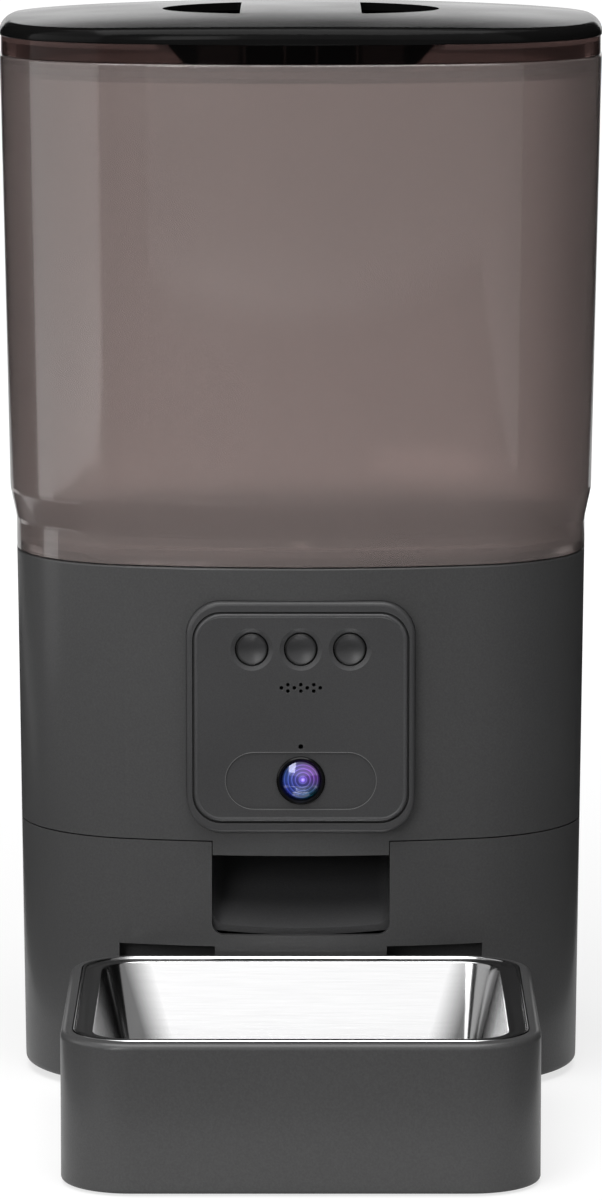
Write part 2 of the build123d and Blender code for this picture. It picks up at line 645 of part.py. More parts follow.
def pocket_block(grow, front, back):
    """Two blocks at the tray's hook pockets, grown on every side but the front."""
    with BuildPart() as form:
        with BuildSketch(front_plane(back + grow)) as openings:
            with Locations((0, (POCKET_LOW_Z + POCKET_HIGH_Z) / 2)):
                with GridLocations(2 * TAB_X, 0, 2, 1):
                    Rectangle(POCKET_WIDTH + 2 * grow, POCKET_HIGH_Z - POCKET_LOW_Z + 2 * grow)
            top_corners = openings.vertices().group_by(Axis.Z)[-1].sort_by(Axis.X)
            fillet([top_corners[0], top_corners[-1]], POCKET_CORNER + grow)
        extrude(amount=back + grow - front)
    return form.part


with BuildPart() as pocket_boxes:
    add(pocket_block(POCKET_WALL, -BODY_DEPTH / 2, pocket_back))
    housing_block(FOOT_HEIGHT, HOUSING_SEAM_Z, HOUSING_WALL / 2, mode=Mode.INTERSECT)

# locating lip that stands up inside the upper housing, open where the chute passes
with BuildPart() as seam_lip:
    add(ring_block(HOUSING_SEAM_Z - LIP_HEIGHT, HOUSING_SEAM_Z, lip_wall(0), lip_wall(LIP_THICKNESS)))
    add(ring_block(HOUSING_SEAM_Z, HOUSING_SEAM_Z + LIP_HEIGHT, lip_wall(FIT),
                   lip_wall(LIP_THICKNESS)))
    with Locations((0, BODY_Y - BODY_DEPTH / 2, HOUSING_SEAM_Z)):
        Box(MOUTH_WIDTH + 2 * (CHUTE_WALL + FIT), BODY_DEPTH / 2, BODY_DEPTH / 2, mode=Mode.SUBTRACT)

with BuildPart() as lower_housing:
    housing_block(FOOT_HEIGHT, HOUSING_SEAM_Z)
    fillet(lower_housing.faces().sort_by(Axis.Z)[0].edges(), BASE_EDGE)
    housing_block(FOOT_HEIGHT, HOUSING_SEAM_Z, HOUSING_WALL, mode=Mode.SUBTRACT)
    add(seam_lip.part)
    add(pocket_boxes.part)
    add(pocket_block(0, -BODY_DEPTH / 2, pocket_back), mode=Mode.SUBTRACT)
    with GridLocations(2 * boss_x(FOOT_HEIGHT), 2 * BOSS_Y, 2, 2):
        upright(BOSS_RADIUS, plate_top_z, plate_top_z + BOSS_HEIGHT)
        upright(SCREW_RADIUS, plate_top_z, plate_top_z + SCREW_LENGTH, mode=Mode.SUBTRACT)
    # notch for the food outlet, open at the top where the upper housing's tab fills it
    with BuildSketch(front_plane(-BODY_DEPTH / 2)) as mouth:
        with Locations((0, MOUTH_LOW_Z)):
            Rectangle(MOUTH_WIDTH, BODY_DEPTH, align=(Align.CENTER, Align.MIN))
        fillet(mouth.vertices().group_by(Axis.Z)[0], MOUTH_CORNER)
    extrude(amount=-BODY_DEPTH / 4, mode=Mode.SUBTRACT)
    # hole for the power inlet
    with BuildSketch(front_plane(BODY_DEPTH / 2)):
        with Locations((JACK_X, JACK_Z)):
            Circle(JACK_BARREL + FIT)
    extrude(amount=BODY_DEPTH / 4, mode=Mode.SUBTRACT)
lower_housing.part.label = "lower_housing"
export_step(lower_housing.part, "parts/lower_housing.step")

# ================================================================ bottom plate and battery bay
bay_low_z = plate_top_z
door_width = BAY_WIDTH + 2 * DOOR_LEDGE
door_depth = BAY_DEPTH + 2 * DOOR_LEDGE
door_hinge_y = BAY_CENTRE_Y - door_depth / 2 + DOOR_THICKNESS / 2
door_hinge_z = FOOT_HEIGHT + DOOR_THICKNESS / 2


def bay_block(low_z, high_z, width, depth, mode=Mode.ADD):
    """Block over the battery bay's plan between two heights."""
    with Locations((0, BODY_Y + BAY_CENTRE_Y, low_z)):
        Box(width, depth, high_z - low_z, align=(Align.CENTER, Align.CENTER, Align.MIN), mode=mode)


def door_pins(radius, length):
    """Hinge pins, or their sockets, along the door's front edge."""
    with BuildPart() as form:
        for side in (-1, 1):
            pin_plane = side_plane(side * (door_width / 2 - DOOR_GAP))
            with BuildSketch(pin_plane):
                with Locations((door_hinge_y, door_hinge_z)):
                    Circle(radius)
            extrude(amount=side * length)
    return form.part


with BuildPart() as bottom_plate:
    housing_block(FOOT_HEIGHT, plate_top_z, HOUSING_WALL + FIT)
    bay_block(plate_top_z, BAY_TOP_Z + BAY_WALL, BAY_WIDTH + 2 * BAY_WALL, BAY_DEPTH + 2 * BAY_WALL)
    bay_block(FOOT_HEIGHT, BAY_TOP_Z, BAY_WIDTH, BAY_DEPTH, mode=Mode.SUBTRACT)
    bay_block(FOOT_HEIGHT, FOOT_HEIGHT + DOOR_THICKNESS + DOOR_GAP, door_width + 2 * FIT,
              door_depth + 2 * FIT, mode=Mode.SUBTRACT)
    add(door_pins(DOOR_PIN_RADIUS + DOOR_PIN_PLAY, DOOR_PIN_LENGTH + 2 * DOOR_GAP),
        mode=Mode.SUBTRACT)
    # thumb notch at the door's free edge
    upright(NOTCH_RADIUS, FOOT_HEIGHT, FOOT_HEIGHT + DOOR_THICKNESS, 0,
            BAY_CENTRE_Y + door_depth / 2, mode=Mode.SUBTRACT)
    with GridLocations(2 * FOOT_X, 2 * FOOT_Y, 2, 2):
        upright(FOOT_RADIUS, FOOT_HEIGHT, FOOT_HEIGHT + FOOT_SEAT, mode=Mode.SUBTRACT)
    with GridLocations(2 * boss_x(FOOT_HEIGHT), 2 * BOSS_Y, 2, 2):
        upright(SCREW_RADIUS + SCREW_PLAY, FOOT_HEIGHT, plate_top_z, mode=Mode.SUBTRACT)
        upright(SCREW_HEAD_RADIUS + SCREW_PLAY, FOOT_HEIGHT, FOOT_HEIGHT + SCREW_HEAD_HEIGHT,
                mode=Mode.SUBTRACT)
bottom_plate.part.label = "bottom_plate"
export_step(bottom_plate.part, "parts/bottom_plate.step")

with BuildPart() as battery_door:
    bay_block(FOOT_HEIGHT, FOOT_HEIGHT + DOOR_THICKNESS, door_width - 2 * DOOR_GAP, door_depth)
    hinge_edges = battery_door.edges().filter_by(Axis.X).group_by(Axis.Y)[0]
    fillet(hinge_edges, DOOR_THICKNESS / 2 * DOOR_HINGE_ROUND)
    add(door_pins(DOOR_PIN_RADIUS, DOOR_PIN_LENGTH))
battery_door.part.label = "battery_door"
export_step(battery_door.part, "parts/battery_door.step")

with BuildPart() as battery_contacts:
    width, thickness, height = CONTACT_SIZE
    for end in (-1, 1):
        with Locations((0, BODY_Y + BAY_CENTRE_Y + end * (BAY_DEPTH - thickness) / 2,
                        (bay_low_z + BAY_TOP_Z) / 2)):
            with GridLocations(CELL_PITCH, 0, 3, 1):
                Box(width, thickness, height)
    # spring buttons on the far plates
    with BuildSketch(front_plane(BAY_CENTRE_Y + BAY_DEPTH / 2 - thickness)):
        with Locations((0, (bay_low_z + BAY_TOP_Z) / 2)):
            with GridLocations(CELL_PITCH, 0, 3, 1):
                Circle(SPRING_RADIUS)
    extrude(amount=SPRING_HEIGHT, taper=SPRING_SLOPE)
battery_contacts.part.label = "battery_contacts"
export_step(battery_contacts.part, "parts/battery_contacts.step")

with BuildPart() as rubber_feet:
    with GridLocations(2 * FOOT_X, 2 * FOOT_Y, 2, 2):
        upright(FOOT_RADIUS - FIT / 2, 0, FOOT_HEIGHT + FOOT_SEAT)
    chamfer(rubber_feet.faces().group_by(Axis.Z)[0].edges(), FOOT_CHAMFER)
rubber_feet.part.label = "rubber_feet"
export_step(rubber_feet.part, "parts/rubber_feet.step")

with BuildPart() as base_screws:
    with GridLocations(2 * boss_x(FOOT_HEIGHT), 2 * BOSS_Y, 2, 2):
        upright(SCREW_HEAD_RADIUS, FOOT_HEIGHT + SCREW_SINK, FOOT_HEIGHT + SCREW_HEAD_HEIGHT)
        upright(SCREW_RADIUS, FOOT_HEIGHT + SCREW_HEAD_HEIGHT, plate_top_z + SCREW_LENGTH - SCREW_SPARE)
base_screws.part.label = "base_screws"
export_step(base_screws.part, "parts/base_screws.step")

# ================================================================ rotor well
bushing_radius = SHAFT_RADIUS + SHAFT_CLEARANCE + BUSHING_WALL


def turned(angle, distance):
    """Point at a distance from the origin, at an angle in degrees."""
    return Vector(distance * cos(radians(angle)), distance * sin(radians(angle)))


mesh_distance_out = GEAR_MODULE * (OUTPUT_TEETH + PINION_TEETH) / 2
mesh_distance = GEAR_MODULE * (WHEEL_TEETH + PINION_TEETH) / 2
output_place = Vector(0, 0)
second_place = output_place + turned(SECOND_IDLER_ANGLE, mesh_distance_out)
first_place = second_place + turned(FIRST_IDLER_ANGLE, mesh_distance)
motor_place = first_place + turned(MOTOR_ANGLE, mesh_distance)

output_tip = GEAR_MODULE * (OUTPUT_TEETH / 2 + 1)
wheel_tip = GEAR_MODULE * (WHEEL_TEETH / 2 + 1)
pinion_tip = GEAR_MODULE * (PINION_TEETH / 2 + 1)
case_skin = GEARBOX_CLEARANCE + GEARBOX_WALL
idler_span = (second_place - first_place).normalized()
post_reach = wheel_tip + case_skin + POST_RADIUS
POSTS = [
    output_place - Vector(output_tip + case_skin + POST_RADIUS, 0),
    second_place + Vector(post_reach, 0),
    # beside the middle of the two idlers
    (first_place + second_place) / 2 + Vector(-idler_span.Y, idler_span.X) * post_reach,
]

panel_back_y = PANEL_FACE_Y + PANEL_BOX_DEPTH

with BuildPart() as rotor_well:
    # deck across the housing with a cup hung from its middle
    housing_block(WELL_TOP_Z - DECK_THICKNESS, WELL_TOP_Z, HOUSING_WALL + FIT)
    upright(WELL_RADIUS + ROTOR_WELL_WALL, WELL_UNDERSIDE_Z, WELL_TOP_Z)
    upright(bushing_radius + ROTOR_WELL_WALL, WELL_UNDERSIDE_Z - BUSHING_DROP, WELL_UNDERSIDE_Z)
    for post in POSTS:
        upright(POST_RADIUS, GEARBOX_TOP_Z, WELL_UNDERSIDE_Z, post.X, post.Y)
        upright(SCREW_RADIUS, GEARBOX_TOP_Z, GEARBOX_TOP_Z + SCREW_LENGTH, post.X, post.Y,
                mode=Mode.SUBTRACT)
    upright(WELL_RADIUS, ROTOR_WELL_FLOOR_Z, WELL_TOP_Z, mode=Mode.SUBTRACT)
    upright(bushing_radius, WELL_UNDERSIDE_Z - BUSHING_DROP, ROTOR_WELL_FLOOR_Z,
            mode=Mode.SUBTRACT)
    extrude(sector(level(WELL_UNDERSIDE_Z), OUTLET_INNER_RADIUS, WELL_RADIUS - OUTLET_RIM,
                   OUTLET_HALF_ANGLE), amount=ROTOR_WELL_WALL, mode=Mode.SUBTRACT)
    # room for the control panel's box
    with BuildSketch(level(WELL_TOP_Z)):
        with Locations((0, -BODY_DEPTH / 2)):
            Rectangle(PANEL_WIDTH + 2 * PANEL_BAY, 2 * (BODY_DEPTH / 2 + panel_back_y + PANEL_BAY))
    extrude(amount=-DECK_THICKNESS, mode=Mode.SUBTRACT)
    with GridLocations(2 * boss_x(WELL_TOP_Z), 2 * BOSS_Y, 2, 2):
        upright(SCREW_RADIUS + SCREW_PLAY, WELL_TOP_Z - DECK_THICKNESS, WELL_TOP_Z,
                mode=Mode.SUBTRACT)
rotor_well.part.label = "rotor_well"
export_step(rotor_well.part, "parts/rotor_well.step")

with BuildPart() as shaft_bushing:
    upright(bushing_radius, WELL_UNDERSIDE_Z - BUSHING_DROP, ROTOR_WELL_FLOOR_Z)
    upright(SHAFT_RADIUS + SHAFT_CLEARANCE, WELL_UNDERSIDE_Z - BUSHING_DROP, ROTOR_WELL_FLOOR_Z,
            mode=Mode.SUBTRACT)
shaft_bushing.part.label = "shaft_bushing"
export_step(shaft_bushing.part, "parts/shaft_bushing.step")

with BuildPart() as well_screws:
    with GridLocations(2 * boss_x(WELL_TOP_Z), 2 * BOSS_Y, 2, 2):
        upright(SCREW_HEAD_RADIUS, WELL_TOP_Z - DECK_THICKNESS - SCREW_HEAD_HEIGHT,
                WELL_TOP_Z - DECK_THICKNESS)
        upright(SCREW_RADIUS, WELL_TOP_Z - DECK_THICKNESS, WELL_TOP_Z + SCREW_LENGTH - SCREW_SPARE)
well_screws.part.label = "well_screws"
export_step(well_screws.part, "parts/well_screws.step")

with BuildPart() as flow_limiter:
    limiter_z = ROTOR_TOP_Z + LIMITER_GAP
    extrude(sector(level(limiter_z), OUTLET_INNER_RADIUS, WELL_RADIUS - SHAFT_CLEARANCE,
                   LIMITER_HALF_ANGLE), amount=LIMITER_THICKNESS)
flow_limiter.part.label = "flow_limiter"
export_step(flow_limiter.part, "parts/flow_limiter.step")

# ================================================================ rotor, shaft and stirrer
with BuildPart() as rotor:
    bend_share, bend_radius = BLADE_BEND
    with BuildSketch(level(ROTOR_LOW_Z)):
        for index in range(BLADE_COUNT):
            heading = 360 / BLADE_COUNT * index
            with BuildLine():
                ThreePointArc(turned(heading, HUB_RADIUS - BLADE_OVERRUN),
                              turned(heading - BLADE_SWEEP * bend_share, ROTOR_RADIUS * bend_radius),
                              turned(heading - BLADE_SWEEP, ROTOR_RADIUS + BLADE_OVERRUN))
            trace(line_width=BLADE_THICKNESS)
    extrude(amount=ROTOR_HEIGHT)
    with BuildSketch(side_plane()):
        with BuildLine():
            Polyline((0, ROTOR_LOW_Z), (ROTOR_RADIUS, ROTOR_LOW_Z),
                     (ROTOR_RADIUS, ROTOR_TOP_Z - BLADE_SLOPE), (HUB_RADIUS, ROTOR_TOP_Z),
                     (0, ROTOR_TOP_Z), close=True)
        make_face()
    revolve(axis=Axis((0, BODY_Y, 0), (0, 0, 1)), mode=Mode.INTERSECT)
    upright(HUB_RADIUS, ROTOR_LOW_Z, ROTOR_TOP_Z)
    upright(SHAFT_RADIUS + SHAFT_CLEARANCE / 2, ROTOR_LOW_Z, ROTOR_TOP_Z, mode=Mode.SUBTRACT)
rotor.part.label = "rotor"
export_step(rotor.part, "parts/rotor.step")

with BuildPart() as stirrer:
    upright(HUB_RADIUS - STIRRER_STEP, ROTOR_TOP_Z, ROTOR_TOP_Z + STIRRER_CAP)
    fillet(stirrer.faces().sort_by(Axis.Z)[-1].edges(), HUB_RADIUS / 2)
    for heading in STIRRER_HEADINGS:
        foot = turned(heading, HUB_RADIUS / 3)
        root = Vector(foot.X, foot.Y + BODY_Y, ROTOR_TOP_Z + STIRRER_CAP / 2)
        aim = turned(heading, STIRRER_REACH)
        with BuildSketch(Plane(root, z_dir=(aim.X, aim.Y, STIRRER_RISE))):
            Circle(STIRRER_ROD)
        extrude(amount=hypot(STIRRER_REACH, STIRRER_RISE))
    fillet(stirrer.edges().filter_by(GeomType.CIRCLE).group_by(Axis.Z)[-1], STIRRER_TIP_ROUND)
stirrer.part.label = "stirrer"
export_step(stirrer.part, "parts/stirrer.step")

# ================================================================ gear train
layer_step = GEAR_WIDTH + LAYER_GAP
top_layer = GEARBOX_TOP_Z - GEARBOX_WALL - GEAR_END_GAP - GEAR_WIDTH
middle_layer = top_layer - layer_step
bottom_layer = middle_layer - layer_step
case_floor_z = bottom_layer - GEAR_END_GAP
case_low_z = case_floor_z - GEARBOX_WALL


def roll(angle):
    """Involute function of a pressure angle in radians."""
    return tan(angle) - angle


def gear_points(teeth, phase):
    """Tooth outline points of a gear with one tooth centred at phase degrees."""
    pitch_radius = GEAR_MODULE * teeth / 2
    base_radius = pitch_radius * cos(radians(PRESSURE_ANGLE))
    tip_radius = pitch_radius + GEAR_MODULE * ADDENDUM
    root_radius = pitch_radius - GEAR_MODULE * DEDENDUM
    half_at_pitch = pi / 2 / teeth - BACKLASH / 2 / pitch_radius
    flank = []
    for radius in (root_radius, max(base_radius, root_radius), pitch_radius, tip_radius):
        spread = roll(acos(min(1.0, base_radius / radius)))
        half = half_at_pitch + roll(radians(PRESSURE_ANGLE)) - spread
        if not flank or radius > flank[-1][0] + 0.01:
            flank.append((radius, degrees(half)))
    points = []
    for tooth in range(teeth):
        middle = phase + 360 / teeth * tooth
        points += [turned(middle - half, radius) for radius, half in flank]
        points += [turned(middle + half, radius) for radius, half in reversed(flank)]
    return points


def gear(place, teeth, phase, low_z, high_z):
    """Spur gear between two heights, added to the part in hand."""
    with BuildSketch(level(low_z)) as outline:
        with BuildLine():
            Polyline([point + place for point in gear_points(teeth, phase)], close=True)
        make_face()
    extrude(outline.sketch, amount=high_z - low_z)


def meshed_phase(place, teeth, phase, other_place, other_teeth):
    """Phase of a second gear whose gap faces the first gear's tooth."""
    line = other_place - place
    heading = degrees(atan2(line.Y, line.X))
    share = ((heading - phase) / (360 / teeth)) % 1
    return heading + 180 + (share + 0.5) * 360 / other_teeth


output_phase = 0.0
second_small = meshed_phase(output_place, OUTPUT_TEETH, output_phase, second_place, PINION_TEETH)
second_large = 0.0
first_small = meshed_phase(second_place, WHEEL_TEETH, second_large, first_place, PINION_TEETH)
first_large = 0.0
motor_phase = meshed_phase(first_place, WHEEL_TEETH, first_large, motor_place, PINION_TEETH)

with BuildPart() as output_gear:
    gear(output_place, OUTPUT_TEETH, output_phase, top_layer, top_layer + GEAR_WIDTH)
    upright(SHAFT_RADIUS + GEAR_HUB_WALL, middle_layer, top_layer + GEAR_WIDTH)
    upright(SHAFT_RADIUS + SHAFT_CLEARANCE / 2, middle_layer, top_layer + GEAR_WIDTH,
            mode=Mode.SUBTRACT)
output_gear.part.label = "output_gear"
export_step(output_gear.part, "parts/output_gear.step")

with BuildPart() as drive_shaft:
    upright(SHAFT_RADIUS, case_floor_z, ROTOR_TOP_Z)
drive_shaft.part.label = "drive_shaft"
export_step(drive_shaft.part, "parts/drive_shaft.step")

with BuildPart() as second_idler:
    gear(second_place, WHEEL_TEETH, second_large, middle_layer, middle_layer + GEAR_WIDTH)
    gear(second_place, PINION_TEETH, second_small, middle_layer + GEAR_WIDTH,
         top_layer + GEAR_WIDTH)
    upright(PIN_RADIUS + SHAFT_CLEARANCE, middle_layer, top_layer + GEAR_WIDTH, second_place.X,
            second_place.Y, mode=Mode.SUBTRACT)
second_idler.part.label = "second_idler"
export_step(second_idler.part, "parts/second_idler.step")

with BuildPart() as first_idler:
    gear(first_place, WHEEL_TEETH, first_large, bottom_layer, bottom_layer + GEAR_WIDTH)
    gear(first_place, PINION_TEETH, first_small, bottom_layer + GEAR_WIDTH,
         middle_layer + GEAR_WIDTH)
    upright(PIN_RADIUS + SHAFT_CLEARANCE, bottom_layer, middle_layer + GEAR_WIDTH, first_place.X,
            first_place.Y, mode=Mode.SUBTRACT)
first_idler.part.label = "first_idler"
export_step(first_idler.part, "parts/first_idler.step")

with BuildPart() as motor_pinion:
    gear(motor_place, PINION_TEETH, motor_phase, bottom_layer, bottom_layer + GEAR_WIDTH)
    upright(MOTOR_SHAFT, bottom_layer, GEARBOX_TOP_Z + MOTOR_SHAFT_REACH, motor_place.X,
            motor_place.Y)
motor_pinion.part.label = "motor_pinion"
export_step(motor_pinion.part, "parts/motor_pinion.step")

with BuildPart() as gear_pins:
    for place in (second_place, first_place):
        upright(PIN_RADIUS, case_floor_z, GEARBOX_TOP_Z - GEARBOX_WALL, place.X, place.Y)
gear_pins.part.label = "gear_pins"
export_step(gear_pins.part, "parts/gear_pins.step")


def train_outline(z, skin, extra=()):
    """Sketch a hull round the whole gear train, with more circles where given."""
    circles = [(output_place, output_tip), (second_place, wheel_tip), (first_place, wheel_tip),
               (motor_place, pinion_tip)]
    with BuildSketch(level(z)) as outline:
        for place, radius in circles:
            with Locations((place.X, place.Y)):
                Circle(radius + skin)
        for place, radius in extra:
            with Locations((place.X, place.Y)):
                Circle(radius)
        make_hull()
    return outline.sketch


with BuildPart() as gearbox_case:
    extrude(train_outline(case_low_z, case_skin), amount=GEARBOX_TOP_Z - GEARBOX_WALL - case_low_z)
    extrude(train_outline(case_floor_z, GEARBOX_CLEARANCE),
            amount=GEARBOX_TOP_Z - GEARBOX_WALL - case_floor_z, mode=Mode.SUBTRACT)
gearbox_case.part.label = "gearbox_case"
export_step(gearbox_case.part, "parts/gearbox_case.step")

ears = [(post, POST_RADIUS + EAR_WALL) for post in POSTS]
ears.append((motor_place, MOTOR_RADIUS + EAR_WALL))
with BuildPart() as gearbox_lid:
    extrude(train_outline(GEARBOX_TOP_Z - GEARBOX_WALL, case_skin, ears), amount=GEARBOX_WALL)
    upright(SHAFT_RADIUS + SHAFT_CLEARANCE, GEARBOX_TOP_Z - GEARBOX_WALL, GEARBOX_TOP_Z,
            mode=Mode.SUBTRACT)
    upright(MOTOR_SHAFT + EAR_WALL, GEARBOX_TOP_Z - GEARBOX_WALL, GEARBOX_TOP_Z, motor_place.X,
            motor_place.Y, mode=Mode.SUBTRACT)
    for post in POSTS:
        upright(SCREW_RADIUS + SCREW_PLAY, GEARBOX_TOP_Z - GEARBOX_WALL, GEARBOX_TOP_Z, post.X,
                post.Y, mode=Mode.SUBTRACT)
gearbox_lid.part.label = "gearbox_lid"
export_step(gearbox_lid.part, "parts/gearbox_lid.step")

with BuildPart() as gearbox_screws:
    screw_low = GEARBOX_TOP_Z - GEARBOX_WALL - SCREW_HEAD_HEIGHT
    for post in POSTS:
        upright(SCREW_HEAD_RADIUS, screw_low, screw_low + SCREW_HEAD_HEIGHT, post.X, post.Y)
        upright(SCREW_RADIUS, screw_low, GEARBOX_TOP_Z + SCREW_LENGTH - SCREW_SPARE, post.X,
                post.Y)
gearbox_screws.part.label = "gearbox_screws"
export_step(gearbox_screws.part, "parts/gearbox_screws.step")

with BuildPart() as gear_motor:
    upright(MOTOR_RADIUS, GEARBOX_TOP_Z, GEARBOX_TOP_Z + MOTOR_LENGTH, motor_place.X, motor_place.Y)
    fillet(gear_motor.faces().sort_by(Axis.Z)[-1].edges(), MOTOR_ROUND)
    upright(MOTOR_SHAFT + SHAFT_CLEARANCE, GEARBOX_TOP_Z,
            GEARBOX_TOP_Z + MOTOR_SHAFT_REACH + MOTOR_END_PLAY, motor_place.X, motor_place.Y,
            mode=Mode.SUBTRACT)
    with Locations((motor_place.X, motor_place.Y + BODY_Y, GEARBOX_TOP_Z + MOTOR_LENGTH)):
        with GridLocations(MOTOR_RADIUS, 0, 2, 1):
            Box(*MOTOR_TERMINAL, align=(Align.CENTER, Align.CENTER, Align.MIN))
gear_motor.part.label = "gear_motor"
export_step(gear_motor.part, "parts/gear_motor.step")

# ================================================================ outlet chute
chute_front = housing_inset(MOUTH_LOW_Z) - BODY_DEPTH / 2

with BuildSketch(side_plane()) as duct:
    with BuildLine():
        Polyline((chute_front, MOUTH_LOW_Z), (chute_front, MOUTH_HIGH_Z),
                 (-CHUTE_ROOF_Y, WELL_UNDERSIDE_Z), (-CHUTE_BACK, WELL_UNDERSIDE_Z),
                 (-CHUTE_BACK, WELL_UNDERSIDE_Z - CHUTE_STEP), close=True)
    make_face()

with BuildPart() as duct_void:
    extrude(duct.sketch, amount=MOUTH_WIDTH / 2, both=True)
    duct_floor = duct_void.faces().filter_by(lambda face: face.normal_at().Z < -0.5)
    fillet(duct_floor.edges().filter_by(Axis.X, reverse=True), MOUTH_CORNER)

with BuildPart() as outlet_chute:
    with BuildSketch(side_plane()) as duct_skin:
        add(duct.sketch_local)
        offset(amount=CHUTE_WALL, kind=Kind.INTERSECTION)
    extrude(amount=MOUTH_WIDTH / 2 + CHUTE_WALL, both=True)
    add(duct_void.part, mode=Mode.SUBTRACT)
    housing_block(MOUTH_LOW_Z - 2 * CHUTE_WALL, WELL_UNDERSIDE_Z, HOUSING_WALL + CHUTE_GAP,
                  mode=Mode.INTERSECT)
    with BuildSketch(side_plane()):
        with Locations((EYE_Y, EYE_Z)):
            Circle(EYE_RADIUS)
    extrude(amount=BODY_WIDTH / 4, both=True, mode=Mode.SUBTRACT)
outlet_chute.part.label = "outlet_chute"
export_step(outlet_chute.part, "parts/outlet_chute.step")

# infrared pair that sees the food fall
for side, name in ((-1, "ir_emitter"), (1, "ir_receiver")):
    with BuildPart() as eye:
        with BuildSketch(side_plane(side * (MOUTH_WIDTH / 2 + CHUTE_WALL))):
            with Locations((EYE_Y, EYE_Z)):
                Rectangle(EYE_HOUSING, EYE_HOUSING)
        extrude(amount=side * EYE_HOUSING)
        with BuildSketch(side_plane(side * (MOUTH_WIDTH / 2 + EYE_DROP))):
            with Locations((EYE_Y, EYE_Z)):
                Circle(EYE_RADIUS - SHAFT_CLEARANCE)
        extrude(amount=side * CHUTE_WALL)
    eye.part.label = name
    export_step(eye.part, f"parts/{name}.step")

# ================================================================ control panel
seat_width = PANEL_WIDTH - 2 * PANEL_SIDE_RIM
seat_height = PANEL_HEIGHT - 2 * PANEL_END_RIM
seat_corner = PANEL_CORNER - PANEL_SIDE_RIM
BUTTONS = (("button_left", -BUTTON_PITCH), ("button_centre", 0.0), ("button_right", BUTTON_PITCH))

with BuildPart() as panel_frame:
    extrude(panel_outline(PANEL_FACE_Y + PANEL_BOX_DEPTH, PANEL_WIDTH, PANEL_HEIGHT, PANEL_CORNER),
            amount=PANEL_BOX_DEPTH)
    fillet(panel_frame.faces().sort_by(Axis.Y)[0].edges(), PANEL_ROUND)
    extrude(panel_outline(PANEL_FACE_Y + PANEL_THICKNESS, seat_width, seat_height, seat_corner),
            amount=PANEL_THICKNESS, mode=Mode.SUBTRACT)
    extrude(panel_outline(PANEL_FACE_Y + PANEL_BOX_DEPTH, seat_width - 2 * PANEL_SHELF,
                          seat_height - 2 * PANEL_SHELF, seat_corner - PANEL_SHELF),
            amount=PANEL_BOX_DEPTH, mode=Mode.SUBTRACT)
panel_frame.part.label = "panel_frame"
export_step(panel_frame.part, "parts/panel_frame.step")

with BuildPart() as panel_face:
    extrude(panel_outline(PLATE_BACK_Y, seat_width - 2 * PANEL_GROOVE, seat_height - 2 * PANEL_GROOVE,
                          seat_corner - PANEL_GROOVE), amount=PANEL_THICKNESS)
    fillet(panel_face.faces().sort_by(Axis.Y)[0].edges(), PANEL_FACE_ROUND)
    # shallow capsule round the camera
    with BuildSketch(front_plane(PANEL_FACE_Y + RECESS_DEPTH)):
        with Locations((0, LENS_Z)):
            SlotOverall(RECESS_WIDTH, RECESS_HEIGHT)
    extrude(amount=RECESS_DEPTH, mode=Mode.SUBTRACT)
    # a dished rim runs into each button's hole
    for name, button_x in BUTTONS:
        with BuildSketch(front_plane(PANEL_FACE_Y)):
            with Locations((button_x, BUTTON_Z)):
                Circle(BUTTON_RADIUS + BUTTON_GAP + DISH_RIM)
        with BuildSketch(front_plane(PANEL_FACE_Y + DISH_DEPTH)):
            with Locations((button_x, BUTTON_Z)):
                Circle(BUTTON_RADIUS + BUTTON_GAP)
        loft(mode=Mode.SUBTRACT)
    with BuildSketch(front_plane(PLATE_BACK_Y)):
        for name, button_x in BUTTONS:
            with Locations((button_x, BUTTON_Z)):
                Circle(BUTTON_RADIUS + BUTTON_GAP)
        with Locations((0, LENS_Z)):
            Circle(LENS_RADIUS + BEZEL_WALL + BEZEL_PLAY)
        with Locations((0, MICROPHONE_Z)):
            Circle(MICROPHONE_HOLE)
        # speaker holes: single ones and pairs in turn
        for column in range(-3, 4):
            rows = (0,) if column % 2 else (-SPEAKER_PITCH / 2, SPEAKER_PITCH / 2)
            for row in rows:
                with Locations((column * SPEAKER_PITCH, SPEAKER_Z + row)):
                    Circle(SPEAKER_HOLE)
    extrude(amount=PANEL_THICKNESS, mode=Mode.SUBTRACT)
    # posts behind the plate for the button board
    with BuildSketch(front_plane(SWITCH_BOARD_Y)):
        with Locations((0, BUTTON_Z)):
            with GridLocations(SWITCH_BOARD_SIZE[0] - 2 * SWITCH_POST_INSET, 0, 2, 1):
                Circle(SWITCH_POST_RADIUS)
    extrude(amount=SWITCH_BOARD_Y - PLATE_BACK_Y)
panel_face.part.label = "panel_face"
export_step(panel_face.part, "parts/panel_face.step")

for name, button_x in BUTTONS:
    with BuildPart() as button:
        with BuildSketch(front_plane(BUTTON_FACE_Y + BUTTON_LENGTH)):
            with Locations((button_x, BUTTON_Z)):
                Circle(BUTTON_RADIUS)
        extrude(amount=BUTTON_LENGTH)
        fillet(button.faces().sort_by(Axis.Y)[0].edges(), BUTTON_ROUND)
        with BuildSketch(front_plane(PLATE_BACK_Y + BUTTON_GAP + BUTTON_FLANGE)):
            with Locations((button_x, BUTTON_Z)):
                Circle(BUTTON_RADIUS + BUTTON_GAP + BUTTON_FLANGE)
        extrude(amount=BUTTON_FLANGE)
        dish_centre = BUTTON_FACE_Y + BUTTON_DISH_DEPTH - BUTTON_DISH_RADIUS
        with Locations((button_x, BODY_Y + dish_centre, BUTTON_Z)):
            Sphere(BUTTON_DISH_RADIUS, mode=Mode.SUBTRACT)
    button.part.label = name
    export_step(button.part, f"parts/{name}.step")

